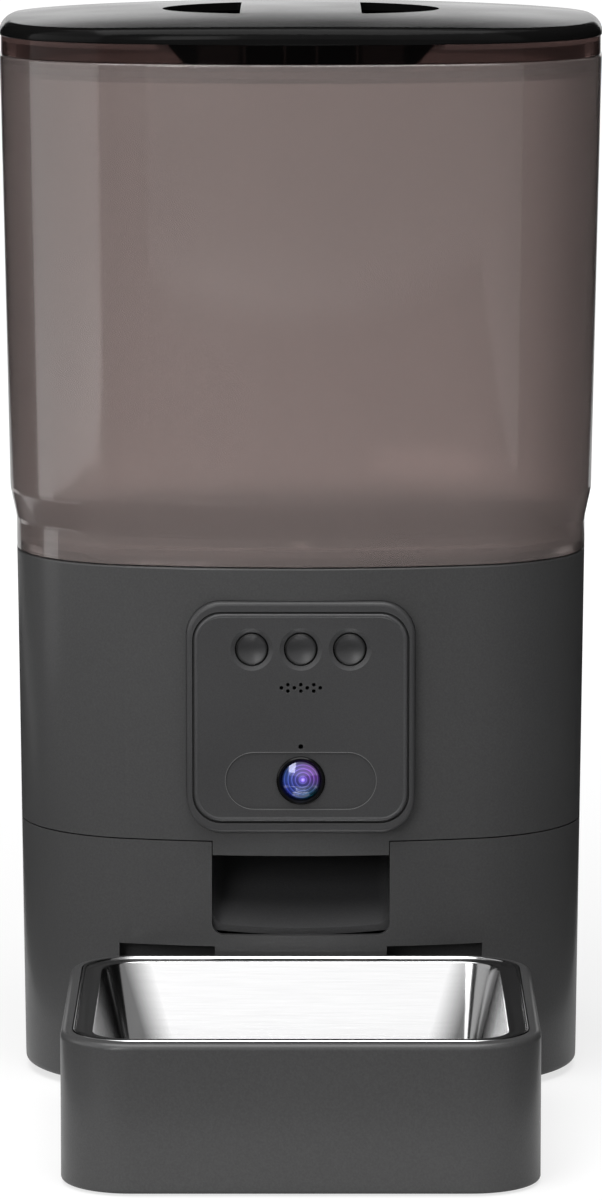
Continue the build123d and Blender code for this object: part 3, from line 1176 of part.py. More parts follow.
with BuildPart() as button_board:
    with BuildSketch(front_plane(SWITCH_BOARD_Y + BOARD_THICKNESS)):
        with Locations((0, BUTTON_Z)):
            Rectangle(*SWITCH_BOARD_SIZE)
    extrude(amount=BOARD_THICKNESS)
    with BuildSketch(front_plane(SWITCH_BOARD_Y)):
        with Locations((0, BUTTON_Z)):
            with GridLocations(BUTTON_PITCH, 0, 3, 1):
                Rectangle(SWITCH_WIDTH, SWITCH_WIDTH)
    extrude(amount=SWITCH_HEIGHT)
button_board.part.label = "button_board"
export_step(button_board.part, "parts/button_board.step")

with BuildPart() as speaker:
    length, height, depth = SPEAKER_SIZE
    with BuildSketch(front_plane(PLATE_BACK_Y + depth)):
        with Locations((0, SPEAKER_Z)):
            SlotOverall(length, height)
    extrude(amount=depth)
    with BuildSketch(front_plane(PLATE_BACK_Y + depth / 2)):
        with Locations((0, SPEAKER_Z)):
            SlotOverall(length - 2 * SPEAKER_WALL, height - 2 * SPEAKER_WALL)
    extrude(amount=depth, mode=Mode.SUBTRACT)
speaker.part.label = "speaker"
export_step(speaker.part, "parts/speaker.step")

with BuildPart() as microphone:
    with BuildSketch(front_plane(PLATE_BACK_Y + MICROPHONE_DEPTH)):
        with Locations((0, MICROPHONE_Z)):
            Circle(MICROPHONE_RADIUS)
    extrude(amount=MICROPHONE_DEPTH)
microphone.part.label = "microphone"
export_step(microphone.part, "parts/microphone.step")

# ================================================================ camera
lens_axis = Axis((0, BODY_Y, LENS_Z), (0, -1, 0))
bezel_front = PANEL_FACE_Y - BEZEL_PROUD
glass_back = PANEL_FACE_Y + GLASS_SEAT
barrel_back = glass_back + BARREL_LENGTH


def turned_about_lens(points):
    """Revolve a closed outline of (distance from the axis, y) points about the lens axis."""
    lens_plane = Plane((0, BODY_Y, LENS_Z), x_dir=(1, 0, 0), z_dir=(0, 0, 1))
    with BuildSketch(lens_plane) as outline:
        with BuildLine():
            Polyline(*points, close=True)
        make_face()
    revolve(outline.sketch, axis=lens_axis)


with BuildPart() as lens_bezel:
    outer = LENS_RADIUS + BEZEL_WALL
    inner = LENS_RADIUS - GLASS_LEDGE
    flange_back = PLATE_BACK_Y + BEZEL_FLANGE_THICKNESS
    turned_about_lens([(LENS_RADIUS, bezel_front + BEZEL_WALL / 2),
                       (LENS_RADIUS + BEZEL_WALL / 3, bezel_front),
                       (outer - BEZEL_WALL / 3, bezel_front), (outer, bezel_front + BEZEL_WALL / 3),
                       (outer, PLATE_BACK_Y), (outer + BEZEL_FLANGE, PLATE_BACK_Y),
                       (outer + BEZEL_FLANGE, flange_back), (inner, flange_back),
                       (inner, glass_back), (LENS_RADIUS, glass_back)])
lens_bezel.part.label = "lens_bezel"
export_step(lens_bezel.part, "parts/lens_bezel.step")

with BuildPart() as lens_glass:
    with BuildSketch(front_plane(glass_back)):
        with Locations((0, LENS_Z)):
            Circle(LENS_RADIUS - GLASS_GAP)
    extrude(amount=GLASS_THICKNESS)
    with Locations((0, BODY_Y + glass_back - GLASS_THICKNESS + GLASS_BULGE_RADIUS, LENS_Z)):
        Sphere(GLASS_BULGE_RADIUS, mode=Mode.INTERSECT)
lens_glass.part.label = "lens_glass"
export_step(lens_glass.part, "parts/lens_glass.step")

with BuildPart() as camera_barrel:
    # stepped rings round the small inner lens
    steps = [(0, glass_back + BARREL_STEPS[0][1])]
    for step_radius, step_drop in BARREL_STEPS:
        if steps[-1][0]:
            steps.append((steps[-1][0], glass_back + step_drop))
        steps.append((step_radius, glass_back + step_drop))
    turned_about_lens(steps + [(BARREL_STEPS[-1][0], barrel_back), (0, barrel_back)])
camera_barrel.part.label = "camera_barrel"
export_step(camera_barrel.part, "parts/camera_barrel.step")

with BuildPart() as camera_board:
    with BuildSketch(front_plane(barrel_back + BOARD_THICKNESS)):
        with Locations((0, LENS_Z)):
            Rectangle(CAMERA_BOARD, CAMERA_BOARD)
    extrude(amount=BOARD_THICKNESS)
camera_board.part.label = "camera_board"
export_step(camera_board.part, "parts/camera_board.step")

# ================================================================ main board and power inlet
with BuildPart() as main_board:
    with BuildSketch(front_plane(BOARD_Y + BOARD_THICKNESS)):
        with Locations((0, BOARD_CENTRE_Z)):
            Rectangle(BOARD_WIDTH, BOARD_HEIGHT)
            with GridLocations(BOARD_PAD_SPACING_X, BOARD_PAD_SPACING_Z, 2, 2):
                Circle(SCREW_RADIUS + SCREW_PLAY, mode=Mode.SUBTRACT)
    extrude(amount=BOARD_THICKNESS)
    for chip_x, chip_z, chip_width, chip_height, chip_depth in BOARD_CHIPS:
        with BuildSketch(front_plane(BOARD_Y)):
            with Locations((chip_x, BOARD_CENTRE_Z + chip_z)):
                Rectangle(chip_width, chip_height)
        extrude(amount=chip_depth)
main_board.part.label = "main_board"
export_step(main_board.part, "parts/main_board.step")

with BuildPart() as board_screws:
    with BuildSketch(front_plane(BOARD_Y)):
        with Locations((0, BOARD_CENTRE_Z)):
            with GridLocations(BOARD_PAD_SPACING_X, BOARD_PAD_SPACING_Z, 2, 2):
                Circle(BOARD_SCREW_HEAD)
    extrude(amount=SCREW_HEAD_HEIGHT)
    with BuildSketch(front_plane(BOARD_Y)):
        with Locations((0, BOARD_CENTRE_Z)):
            with GridLocations(BOARD_PAD_SPACING_X, BOARD_PAD_SPACING_Z, 2, 2):
                Circle(SCREW_RADIUS)
    extrude(amount=BOARD_SCREW_SPARE - BOARD_THICKNESS - BOARD_SCREW_LENGTH)
board_screws.part.label = "board_screws"
export_step(board_screws.part, "parts/board_screws.step")

with BuildPart() as dc_jack:
    with BuildSketch(front_plane(jack_face)):
        with Locations((JACK_X, JACK_Z)):
            Circle(JACK_BARREL)
    extrude(amount=JACK_DEPTH)
    with BuildSketch(front_plane(jack_face - HOUSING_WALL - FIT)):
        with Locations((JACK_X, JACK_Z)):
            Rectangle(JACK_BLOCK, JACK_BLOCK)
    extrude(amount=JACK_DEPTH - HOUSING_WALL)
    with BuildSketch(front_plane(jack_face)):
        with Locations((JACK_X, JACK_Z)):
            Circle(JACK_BORE)
            Circle(JACK_PIN, mode=Mode.SUBTRACT)
    extrude(amount=JACK_BORE_DEPTH, mode=Mode.SUBTRACT)
    with BuildSketch(front_plane(jack_face)):
        with Locations((JACK_X, JACK_Z)):
            Circle(JACK_BORE)
    extrude(amount=JACK_PIN_DROP, mode=Mode.SUBTRACT)
dc_jack.part.label = "dc_jack"
export_step(dc_jack.part, "parts/dc_jack.step")

# ================================================================ bowl tray and steel bowl
ledge_z = FLANGE_Z - STEEL - BOWL_SEAT
flange_inset = RIM_WIDTH + FIT
pan_inset = flange_inset + FLANGE_WIDTH
tub_inset = pan_inset - TUB_CLEARANCE


def tray_outline(z, inset, shift=0.0):
    """Sketch the tray's rounded outline at height z, moved inwards by inset and back by shift."""
    with BuildSketch(Plane((0, BODY_Y + TRAY_CENTRE + shift, z))) as outline:
        RectangleRounded(TRAY_WIDTH - 2 * inset, TRAY_DEPTH - 2 * inset,
                         max(TRAY_CORNER - inset, TRAY_MIN_CORNER))
    return outline.sketch


def tray_block(low_z, high_z, inset, shift=0.0, mode=Mode.ADD):
    """Upright block of the tray's outline."""
    extrude(tray_outline(low_z, inset, shift), amount=high_z - low_z, mode=mode)


with BuildPart() as tray_hollow:
    tray_block(TRAY_LIFT, ledge_z - TRAY_WALL, TRAY_WALL)
    tray_block(TRAY_FLOOR_Z - TRAY_WALL, ledge_z - TRAY_WALL, tub_inset - TRAY_WALL, BOWL_SHIFT,
               mode=Mode.SUBTRACT)

with BuildPart() as bowl_tray:
    tray_block(TRAY_LIFT, TRAY_HEIGHT, 0)
    fillet(bowl_tray.faces().sort_by(Axis.Z)[-1].edges(), TRAY_ROUND)
    fillet(bowl_tray.faces().sort_by(Axis.Z)[0].edges(), TRAY_FOOT_ROUND)
    tray_block(ledge_z, TRAY_HEIGHT, RIM_WIDTH, BOWL_SHIFT, mode=Mode.SUBTRACT)
    tray_block(TRAY_FLOOR_Z, ledge_z, tub_inset, BOWL_SHIFT, mode=Mode.SUBTRACT)
    add(tray_hollow.part, mode=Mode.SUBTRACT)
    # hooks that reach into the housing's pockets
    with BuildSketch(Plane.XY.offset(TAB_Z)):
        with Locations((0, BODY_Y + TRAY_BACK - TRAY_WALL)):
            with GridLocations(2 * TAB_X, 0, 2, 1):
                Rectangle(TAB_WIDTH, TAB_REACH + TRAY_WALL, align=(Align.CENTER, Align.MIN))
    extrude(amount=TAB_THICKNESS)
    with BuildSketch(Plane.XY.offset(TAB_Z - TAB_HOOK)):
        with Locations((0, BODY_Y + TRAY_BACK + TAB_REACH)):
            with GridLocations(2 * TAB_X, 0, 2, 1):
                Rectangle(TAB_WIDTH, TAB_THICKNESS, align=(Align.CENTER, Align.MAX))
    extrude(amount=TAB_HOOK + TAB_THICKNESS)
bowl_tray.part.label = "bowl_tray"
export_step(bowl_tray.part, "parts/bowl_tray.step")

with BuildPart() as tray_pads:
    with Locations((0, TRAY_CENTRE)):
        with GridLocations(TRAY_WIDTH - 2 * PAD_INSET, TRAY_DEPTH - 2 * PAD_INSET, 2, 2):
            upright(PAD_SIZE, 0, TRAY_FLOOR_Z - TRAY_WALL)
tray_pads.part.label = "tray_pads"
export_step(tray_pads.part, "parts/tray_pads.step")


def pan_form(shrink, top_z, floor_z):
    """Tapered pan with a rounded floor, moved inwards by shrink."""
    with BuildPart() as form:
        extrude(tray_outline(top_z, pan_inset + shrink, BOWL_SHIFT), amount=floor_z - top_z,
                taper=BOWL_TAPER)
        fillet(form.faces().sort_by(Axis.Z)[0].edges(), BOWL_FLOOR_ROUND - shrink)
    return form.part


with BuildPart() as steel_bowl:
    add(pan_form(0, FLANGE_Z, FLANGE_Z - BOWL_DEPTH))
    tray_block(FLANGE_Z - STEEL, FLANGE_Z, flange_inset, BOWL_SHIFT)
    fillet(steel_bowl.faces().sort_by(Axis.Z)[-1].edges(), STEEL / 2)
    add(pan_form(STEEL, FLANGE_Z, FLANGE_Z - BOWL_DEPTH + STEEL), mode=Mode.SUBTRACT)
    fillet(steel_bowl.faces().sort_by(Axis.Z)[-1].inner_wires().edges(), BOWL_LIP)
steel_bowl.part.label = "steel_bowl"
export_step(steel_bowl.part, "parts/steel_bowl.step")
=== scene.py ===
"""Looks of an automatic pet feeder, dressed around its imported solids.

Laid out as an add-on and run as a script: one operator for each group of pieces and one for
the studio. Metres, +Z up, and the front faces -Y. Every place is read from the solids' boxes.
"""

from math import cos, pi, radians, sin, tau

import bmesh
import bpy
from bpy.props import FloatProperty, FloatVectorProperty, IntProperty, PointerProperty
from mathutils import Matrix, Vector


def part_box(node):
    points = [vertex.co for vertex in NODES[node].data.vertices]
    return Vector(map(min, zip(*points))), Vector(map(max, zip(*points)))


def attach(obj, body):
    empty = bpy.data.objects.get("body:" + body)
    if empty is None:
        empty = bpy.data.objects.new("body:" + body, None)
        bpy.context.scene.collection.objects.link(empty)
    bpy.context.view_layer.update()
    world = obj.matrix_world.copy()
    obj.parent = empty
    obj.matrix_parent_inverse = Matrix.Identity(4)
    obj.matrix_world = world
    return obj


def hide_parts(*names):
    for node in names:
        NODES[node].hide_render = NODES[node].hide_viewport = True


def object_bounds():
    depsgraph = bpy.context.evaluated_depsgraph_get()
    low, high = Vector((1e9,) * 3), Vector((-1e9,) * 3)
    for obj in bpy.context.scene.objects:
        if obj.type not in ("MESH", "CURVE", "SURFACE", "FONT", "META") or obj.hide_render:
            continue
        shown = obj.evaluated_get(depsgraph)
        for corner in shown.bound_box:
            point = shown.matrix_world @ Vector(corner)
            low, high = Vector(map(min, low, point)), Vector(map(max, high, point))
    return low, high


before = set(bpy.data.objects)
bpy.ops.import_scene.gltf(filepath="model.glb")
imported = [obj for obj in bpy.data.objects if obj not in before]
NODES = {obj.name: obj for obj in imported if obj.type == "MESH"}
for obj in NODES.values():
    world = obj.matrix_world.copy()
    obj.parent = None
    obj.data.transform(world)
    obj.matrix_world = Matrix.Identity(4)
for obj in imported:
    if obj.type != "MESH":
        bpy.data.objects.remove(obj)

bl_info = {
    "name": "Pet Feeder Looks",
    "version": (1, 0, 0),
    "blender": (4, 5, 0),
    "location": "3D View > Sidebar > Feeder",
    "description": "Materials, small detail pieces and a plain studio for an automatic pet feeder",
    "category": "Object",
}

MM = 0.001
CAD_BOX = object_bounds()


# ---------------------------------------------------------------- settings
def colour_setting(name, description, default):
    """Property for a colour."""
    return FloatVectorProperty(name=name, description=description, subtype="COLOR",
                               default=default)


def length_setting(name, description, default, **limits):
    """Property for a length, in metres."""
    return FloatProperty(name=name, description=description, unit="LENGTH", default=default,
                         **limits)


class FeederFinish(bpy.types.PropertyGroup):
    """Colours and grain of the feeder's materials."""

    cover_colour: colour_setting("Cover", "Glossy lid cover", (0.004, 0.004, 0.004))
    liner_colour: colour_setting("Lid Liner", "Smoked liner under the cover", (0.16, 0.10, 0.092))
    tank_colour: colour_setting("Tank", "Smoked tank", (0.535, 0.453, 0.435))
    housing_colour: colour_setting(
        "Housing", "Dark moulded housing and tray", (0.038, 0.038, 0.0385))
    panel_colour: colour_setting("Panel", "Control panel", (0.034, 0.034, 0.035))
    button_colour: colour_setting("Buttons", "Push-buttons", (0.022, 0.022, 0.023))
    button_radius: length_setting("Button Radius", "Radius of the buttons' faces", 4.6 * MM)
    steel_colour: colour_setting("Bowl Steel", "Polished steel bowl", (0.97, 0.97, 0.975))
    grain_size: length_setting(
        "Grain Size", "Width of the moulded plastic's grain", 0.55 * MM, min=0.05 * MM, max=5 * MM)
    grain_depth: length_setting(
        "Grain Depth", "Height of the moulded plastic's grain", 0.018 * MM, min=0, max=1 * MM)


class FeederParts(bpy.types.PropertyGroup):
    """Sizes of the small pieces that are added to the solids."""

    recess_width: length_setting("Recess Width", "Width of a screw's cross recess", 0.8 * MM)
    recess_depth: length_setting("Recess Depth", "Depth of a screw's cross recess", 0.9 * MM)
    thread_pitch: length_setting("Thread Pitch", "Rise of the screws' threads per turn", 1.1 * MM)
    spring_wire: length_setting("Spring Wire", "Radius of the battery springs' wire", 0.35 * MM)
    spring_turns: FloatProperty(
        name="Spring Turns", description="Turns of each battery spring", default=4.0, min=1,
        max=12)
    spring_base: length_setting("Spring Base", "Radius of a spring at its plate", 5.5 * MM)
    spring_tip: length_setting("Spring Tip", "Radius of a spring at its free end", 2.5 * MM)
    spring_length: length_setting("Spring Length", "Length of a spring at rest", 6.0 * MM)
    # the lens's rings are painted reflections in its colour
    lens_rings: IntProperty(
        name="Lens Rings", description="Fine rings that show in the camera's lens", default=5,
        min=1, max=12)
    bead_radius: length_setting("Bead Radius", "Rolled bead round the bowl's flange", 0.4 * MM)
    bowl_sheet: length_setting("Bowl Sheet", "Thickness of the bowl's steel", 0.8 * MM)
    bowl_lean: FloatProperty(
        name="Bowl Lean", description="Lean of the bowl's walls", subtype="ANGLE",
        default=radians(14))
    bowl_floor_round: length_setting(
        "Bowl Floor Rounding", "Between the bowl's walls and floor", 8 * MM)
    bowl_lip_round: length_setting(
        "Bowl Lip Rounding", "Between the bowl's flange and walls", 0.6 * MM)
    flange_width: length_setting("Flange Width", "Width of the bowl's flange", 4.8 * MM)
    flange_corner: length_setting("Flange Corner", "Corner radius of the bowl's flange", 16.5 * MM)
    gasket_radius: length_setting(
        "Gasket Radius", "Cord in the groove round the panel's face", 0.3 * MM)
    bevel_radius: length_setting("Bevel Radius", "Rounded edge of the panel's face", 0.8 * MM)
    bevel_inset: length_setting(
        "Bevel Inset", "From the panel's edge to the rounding's middle", 1.0 * MM)
    panel_corner: length_setting("Panel Corner", "Corner radius of the panel's face", 8.35 * MM)
    capsule_size: FloatVectorProperty(
        name="Capsule Size", description="Width and height of the recess round the camera",
        unit="LENGTH", size=2, default=(44.4 * MM, 17 * MM))
    capsule_line: length_setting("Capsule Line", "Radius of the line round the recess", 0.1 * MM)


class FeederStudio(bpy.types.PropertyGroup):
    """Camera and lamps."""

    camera_distance: length_setting("Camera Distance", "In front of the body's middle", 1.969)
    camera_height: length_setting("Camera Height", "Above the floor", 0.432)
    camera_pitch: FloatProperty(
        name="Camera Pitch", description="Downward tilt", subtype="ANGLE", default=radians(8.3))
    camera_shift: FloatVectorProperty(
        name="Camera Shift", description="Across and up, in shares of the frame", size=2,
        default=(0.00016667, -0.01666667))
    focal_length: FloatProperty(
        name="Focal Length", description="Lens, in millimetres on a 36 mm frame", default=196.53)
    world_light: FloatProperty(
        name="World Light", description="Even light on the object", default=0.21, min=0, max=2)
    key_power: FloatProperty(
        name="Key Power", description="Soft lamp at the left front, in watts", default=13.0,
        min=0)
    strip_power: FloatProperty(
        name="Strip Power", description="Tall panel mirrored at the left, in watts", default=4.0,
        min=0)
    top_power: FloatProperty(
        name="Top Power", description="Soft lamp overhead, in watts", default=34.0, min=0)


# ---------------------------------------------------------------- node building
class Tree:
    """Places and joins the nodes of one shader or geometry tree."""

    def __init__(self, tree):
        self.tree = tree

    def add(self, kind, *inputs, **options):
        """Place a node; inputs are (socket name or number, value or socket) pairs."""
        node = self.tree.nodes.new(kind)
        for name, value in options.items():
            setattr(node, name, value)
        for key, value in inputs:
            socket = node.inputs[key]
            if isinstance(value, bpy.types.NodeSocket):
                self.tree.links.new(value, socket)
            else:
                socket.default_value = value
        return node

    def math(self, operation, *values):
        """A Math node's result."""
        return self.add("ShaderNodeMath", *enumerate(values), operation=operation).outputs[0]

    def vector(self, operation, *values):
        """A Vector Math node's result: a number for a length or a dot product."""
        node = self.add("ShaderNodeVectorMath", *enumerate(values), operation=operation)
        return node.outputs["Value" if operation in ("LENGTH", "DOT_PRODUCT") else "Vector"]

    def span(self, value, start, end, to_start=0.0, to_end=1.0, kind="LINEAR"):
        """A value mapped from one range to another."""
        node = self.add("ShaderNodeMapRange", ("Value", value), ("From Min", start),
                        ("From Max", end), ("To Min", to_start), ("To Max", to_end),
                        interpolation_type=kind)
        return node.outputs["Result"]

    def place(self):
        """Object coordinates, as one vector."""
        return self.add("ShaderNodeTexCoord").outputs["Object"]

    def places(self):
        """Object coordinates, apart."""
        return self.add("ShaderNodeSeparateXYZ", (0, self.place())).outputs

    def ramp(self, value, *stops):
        """A colour ramp's colour; stops are (place, grey or colour) pairs."""
        node = self.add("ShaderNodeValToRGB", ("Fac", value))
        marks = node.color_ramp.elements
        while len(marks) < len(stops):
            marks.new(1.0)
        for mark, (place, colour) in zip(marks, stops):
            mark.position = place
            mark.color = (*([colour] * 3 if isinstance(colour, float) else colour), 1)
        return node.outputs["Color"]

    def blend(self, factor, first, second, mode="MIX"):
        """Two colours mixed."""
        node = self.add("ShaderNodeMix", ("Factor", factor), (6, first), (7, second),
                        data_type="RGBA", blend_type=mode)
        return node.outputs[2]

    def join(self, source, target):
        """Link an output to an input."""
        self.tree.links.new(source, target)

    def shade(self, mask):
        """Multiply the colour of the material's shader by a mask."""
        colour = self.tree.nodes["Principled BSDF"].inputs["Base Color"]
        self.join(self.blend(1.0, colour.links[0].from_socket, mask, "MULTIPLY"), colour)


def set_inputs(node, *inputs):
    """Give a node's sockets plain values; inputs are (socket name, value) pairs."""
    for name, value in inputs:
        node.inputs[name].default_value = value


def new_group(name, kind, inputs, outputs):
    """An empty node group with named sockets: (name, socket type, default) and (name, type)."""
    tree = bpy.data.node_groups.new(name, kind)
    for label, socket, default in inputs:
        made = tree.interface.new_socket(label, in_out="INPUT", socket_type=socket)
        if default is not None:
            made.default_value = default
    for label, socket in outputs:
        tree.interface.new_socket(label, in_out="OUTPUT", socket_type=socket)
    helper = Tree(tree)
    return helper, helper.add("NodeGroupInput"), helper.add("NodeGroupOutput")


def shader_group(name, build, inputs, outputs):
    """The shader group of that name, built when it is first asked for."""
    if name not in bpy.data.node_groups:
        helper, given, result = new_group(name, "ShaderNodeTree", inputs, outputs)
        build(helper, given, result)
    return bpy.data.node_groups[name]


def build_grain(tree, given, result):
    """Fine irregular pebbles, as on textured moulded plastic."""
    place = tree.place()
    density = tree.math("DIVIDE", 1.0, given.outputs["Size"])
    cells = tree.add("ShaderNodeTexVoronoi", ("Vector", place), ("Scale", density))
    haze = tree.add("ShaderNodeTexNoise", ("Vector", place), ("Scale", density),
                    ("Detail", 3.0))
    pebble = tree.math("MULTIPLY", cells.outputs["Distance"], given.outputs["Pebbles"])
    tree.join(tree.math("ADD", pebble, haze.outputs["Fac"]), result.inputs["Height"])
    tree.join(haze.outputs["Fac"], result.inputs["Mottle"])


def build_smudge(tree, given, result):
    """Broad uneven patches, as left by handling and by the mould."""
    place = tree.place()
    density = tree.math("DIVIDE", 1.0, given.outputs["Size"])
    cloud = tree.add("ShaderNodeTexNoise", ("Vector", place), ("Scale", density),
                     ("Detail", 1.5))
    level = tree.span(cloud.outputs["Fac"], 0.25, 0.75, given.outputs["Low"],
                      given.outputs["High"], "SMOOTHSTEP")
    tree.join(level, result.inputs["Value"])


def build_edge(tree, given, result):
    """Mask of the sharp edges, for a painted highlight where light would catch a small rounding."""
    rounded = tree.add("ShaderNodeBevel", ("Radius", given.outputs["Radius"]), samples=6)
    plain = tree.add("ShaderNodeNewGeometry").outputs["Normal"]
    turned = tree.math("SUBTRACT", 1.0, tree.vector("DOT_PRODUCT", rounded.outputs[0], plain))
    tree.join(tree.math("MULTIPLY", tree.span(turned, 0.0, 0.25), given.outputs["Strength"]),
              result.inputs["Mask"])


def build_strokes(tree, given, result):
    """Hair-fine polishing strokes along X."""
    stretched = tree.add("ShaderNodeMapping", ("Vector", tree.place()),
                         ("Scale", (60, 2400, 2400)))
    hair = tree.add("ShaderNodeTexNoise", ("Vector", stretched.outputs[0]), ("Scale", 1.0),
                    ("Detail", 2.0))
    tree.join(hair.outputs["Fac"], result.inputs["Height"])


FLOAT = "NodeSocketFloat"
GROUPS = {
    "Moulded Grain": (build_grain, [("Size", FLOAT, 0.5 * MM), ("Pebbles", FLOAT, 0.6)],
                      [("Height", FLOAT), ("Mottle", FLOAT)]),
    "Smudge": (build_smudge, [("Size", FLOAT, 40 * MM), ("Low", FLOAT, 0.4),
                              ("High", FLOAT, 0.6)], [("Value", FLOAT)]),
    "Edge Light": (build_edge, [("Radius", FLOAT, 0.4 * MM), ("Strength", FLOAT, 1.0)],
                   [("Mask", FLOAT)]),
    "Polishing Strokes": (build_strokes, [], [("Height", FLOAT)]),
}


def effect(tree, name, *inputs):
    """A shared shader group, placed in a material."""
    node = tree.add("ShaderNodeGroup", node_tree=shader_group(name, *GROUPS[name]))
    set_inputs(node, *inputs)
    return node


def new_material(name):
    """A material with its tree and shader."""
    material = bpy.data.materials.new(name)
    material.use_nodes = True
    return material, Tree(material.node_tree), material.node_tree.nodes["Principled BSDF"]


def uneven_gloss(tree, shader, roughness, spread, **size):
    """Roughness that wanders about a value."""
    patch = effect(tree, "Smudge", *size.items(), ("Low", max(roughness - spread, 0.02)),
                   ("High", roughness + spread))
    tree.join(patch.outputs["Value"], shader.inputs["Roughness"])


def relief(tree, shader, height, depth):
    """Fine relief in a shader's normals."""
    bump = tree.add("ShaderNodeBump", ("Height", height), ("Distance", depth))
    tree.join(bump.outputs[0], shader.inputs["Normal"])


def plastic(name, colour, roughness, grain=0.55 * MM, depth=0.03 * MM, spread=0.05, mottle=0.12,
            edge=0.10, transmission=0.0, coat=0.0, coat_roughness=0.06, specular=0.25,
            ior=1.5, pebbles=0.6, thick=0.0):
    """Moulded plastic: grain in its relief, mottled colour, uneven gloss and a painted highlight on
    its edges.

    Thick is how far it darkens where it is seen edge on, as smoked walls do.
    """
    material, tree, shader = new_material(name)
    skin = effect(tree, "Moulded Grain", ("Size", grain), ("Pebbles", pebbles))
    dark = [c * (1 - mottle) for c in colour]
    pale = [min(c * (1 + mottle), 1) for c in colour]
    tone = tree.ramp(skin.outputs["Mottle"], (0.3, dark), (0.7, pale))
    # painted highlight: the edges take a paler copy of the colour
    if edge:
        lit = [min(c * 2.4 + 0.03, 1) for c in colour]
        rim = effect(tree, "Edge Light", ("Strength", edge)).outputs["Mask"]
        tone = tree.blend(rim, tone, (*lit, 1))
    if thick:
        deep = [c * 0.25 for c in colour]
        rim = tree.add("ShaderNodeLayerWeight", ("Blend", 0.5)).outputs["Facing"]
        tone = tree.blend(tree.math("MULTIPLY", rim, thick), tone, (*deep, 1))
    tree.join(tone, shader.inputs["Base Color"])
    uneven_gloss(tree, shader, roughness, spread)
    relief(tree, shader, skin.outputs["Height"], depth)
    set_inputs(shader, ("Specular IOR Level", specular), ("Transmission Weight", transmission),
               ("Coat Weight", coat), ("Coat Roughness", coat_roughness), ("IOR", ior))
    return material


def metal(name, colour, roughness, stroke_depth=0.002 * MM, spread=0.04):
    """Bare metal with fine strokes and uneven gloss."""
    material, tree, shader = new_material(name)
    hair = effect(tree, "Polishing Strokes").outputs["Height"]
    dull = [c * 0.94 for c in colour]
    tree.join(tree.ramp(hair, (0.25, dull), (0.75, colour)), shader.inputs["Base Color"])
    uneven_gloss(tree, shader, roughness, spread, Size=25 * MM)
    relief(tree, shader, hair, stroke_depth)
    set_inputs(shader, ("Metallic", 1.0))
    return material


def beside_middle(tree, place, node):
    """How far a place is to the left or right of a solid's middle."""
    return tree.math("ABSOLUTE", tree.math("SUBTRACT", place["X"], centre_of(node).x))


def dress(material, *names):
    """Give solids a material in place of their plain one."""
    for name in names:
        for holder in NODES[name].material_slots:
            holder.material = material


# ---------------------------------------------------------------- piece building
def centre_of(node):
    """Middle of a solid's box."""
    low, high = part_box(node)
    return (low + high) / 2


def islands(node):
    """Boxes of the separate solids in one node."""
    mesh = bmesh.new()
    mesh.from_mesh(NODES[node].data)
    bmesh.ops.remove_doubles(mesh, verts=mesh.verts, dist=0.001 * MM)
    left = set(mesh.verts)
    boxes = []
    while left:
        front = [left.pop()]
        found = list(front)
        while front:
            vertex = front.pop()
            for edge in vertex.link_edges:
                other = edge.other_vert(vertex)
                if other in left:
                    left.remove(other)
                    front.append(other)
                    found.append(other)
        low = Vector(min(v.co[i] for v in found) for i in range(3))
        high = Vector(max(v.co[i] for v in found) for i in range(3))
        boxes.append((low, high))
    mesh.free()
    return sorted(boxes, key=lambda pair: tuple(round(c, 5) for c in pair[0]))


def put(name, data):
    """An object in the scene that holds a mesh, a lamp or a camera."""
    made = bpy.data.objects.new(name, data)
    bpy.context.scene.collection.objects.link(made)
    return made


def put_points(name, points, faces=()):
    """An object of loose points or of flat faces."""
    mesh = bpy.data.meshes.new(name)
    mesh.from_pydata(points, [], faces)
    return put(name, mesh)


def add_piece(name, mesh, body, material=None):
    """Put a finished mesh in the scene, on a body, with a material if it has none yet."""
    if material is not None:
        mesh.materials.append(material)
    made = put(name, mesh)
    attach(made, body)
    return made


def rounded_loop(width, height, corner, steps=12, holds=(0.02, 0.5, 0.98)):
    """Points of a rounded rectangle about the origin, as (across, up) pairs.

    The holds are shares of each straight side at which it gets points of its own.
    """
    corners = ((1, 1), (-1, 1), (-1, -1), (1, -1))

    def on_corner(quarter, share):
        """Point at a share of a corner's arc."""
        across, up = corners[quarter % 4]
        angle = (quarter + share) * pi / 2
        middle = Vector((across * (width / 2 - corner), up * (height / 2 - corner)))
        return middle + corner * Vector((cos(angle), sin(angle)))

    points = []
    for quarter in range(4):
        points += [on_corner(quarter, step / steps) for step in range(steps + 1)]
        after = on_corner(quarter + 1, 0)
        points += [points[-1].lerp(after, share) for share in holds]
    return points


def distinct(points):
    """The points of a closed path without repeated ones."""
    return [p for i, p in enumerate(points) if (p - points[i - 1]).length > 0.01 * MM]


def finish_mesh(name, work):
    """Keep a bmesh as a smooth mesh whose faces look outwards."""
    bmesh.ops.recalc_face_normals(work, faces=work.faces)
    for face in work.faces:
        face.smooth = True
    mesh = bpy.data.meshes.new(name)
    work.to_mesh(mesh)
    work.free()
    return mesh


def skin(work, rings):
    """Faces from each ring of vertices to the next."""
    for ring, after in zip(rings, rings[1:]):
        for step in range(len(ring)):
            follow = (step + 1) % len(ring)
            work.faces.new((ring[step], ring[follow], after[follow], after[step]))


def lofted(name, loops):
    """Closed mesh through loops of equal counts, with a flat face on the first and last."""
    work = bmesh.new()
    rings = [[work.verts.new(point) for point in loop] for loop in loops]
    skin(work, rings)
    work.faces.new(rings[0])
    work.faces.new(rings[-1])
    return finish_mesh(name, work)


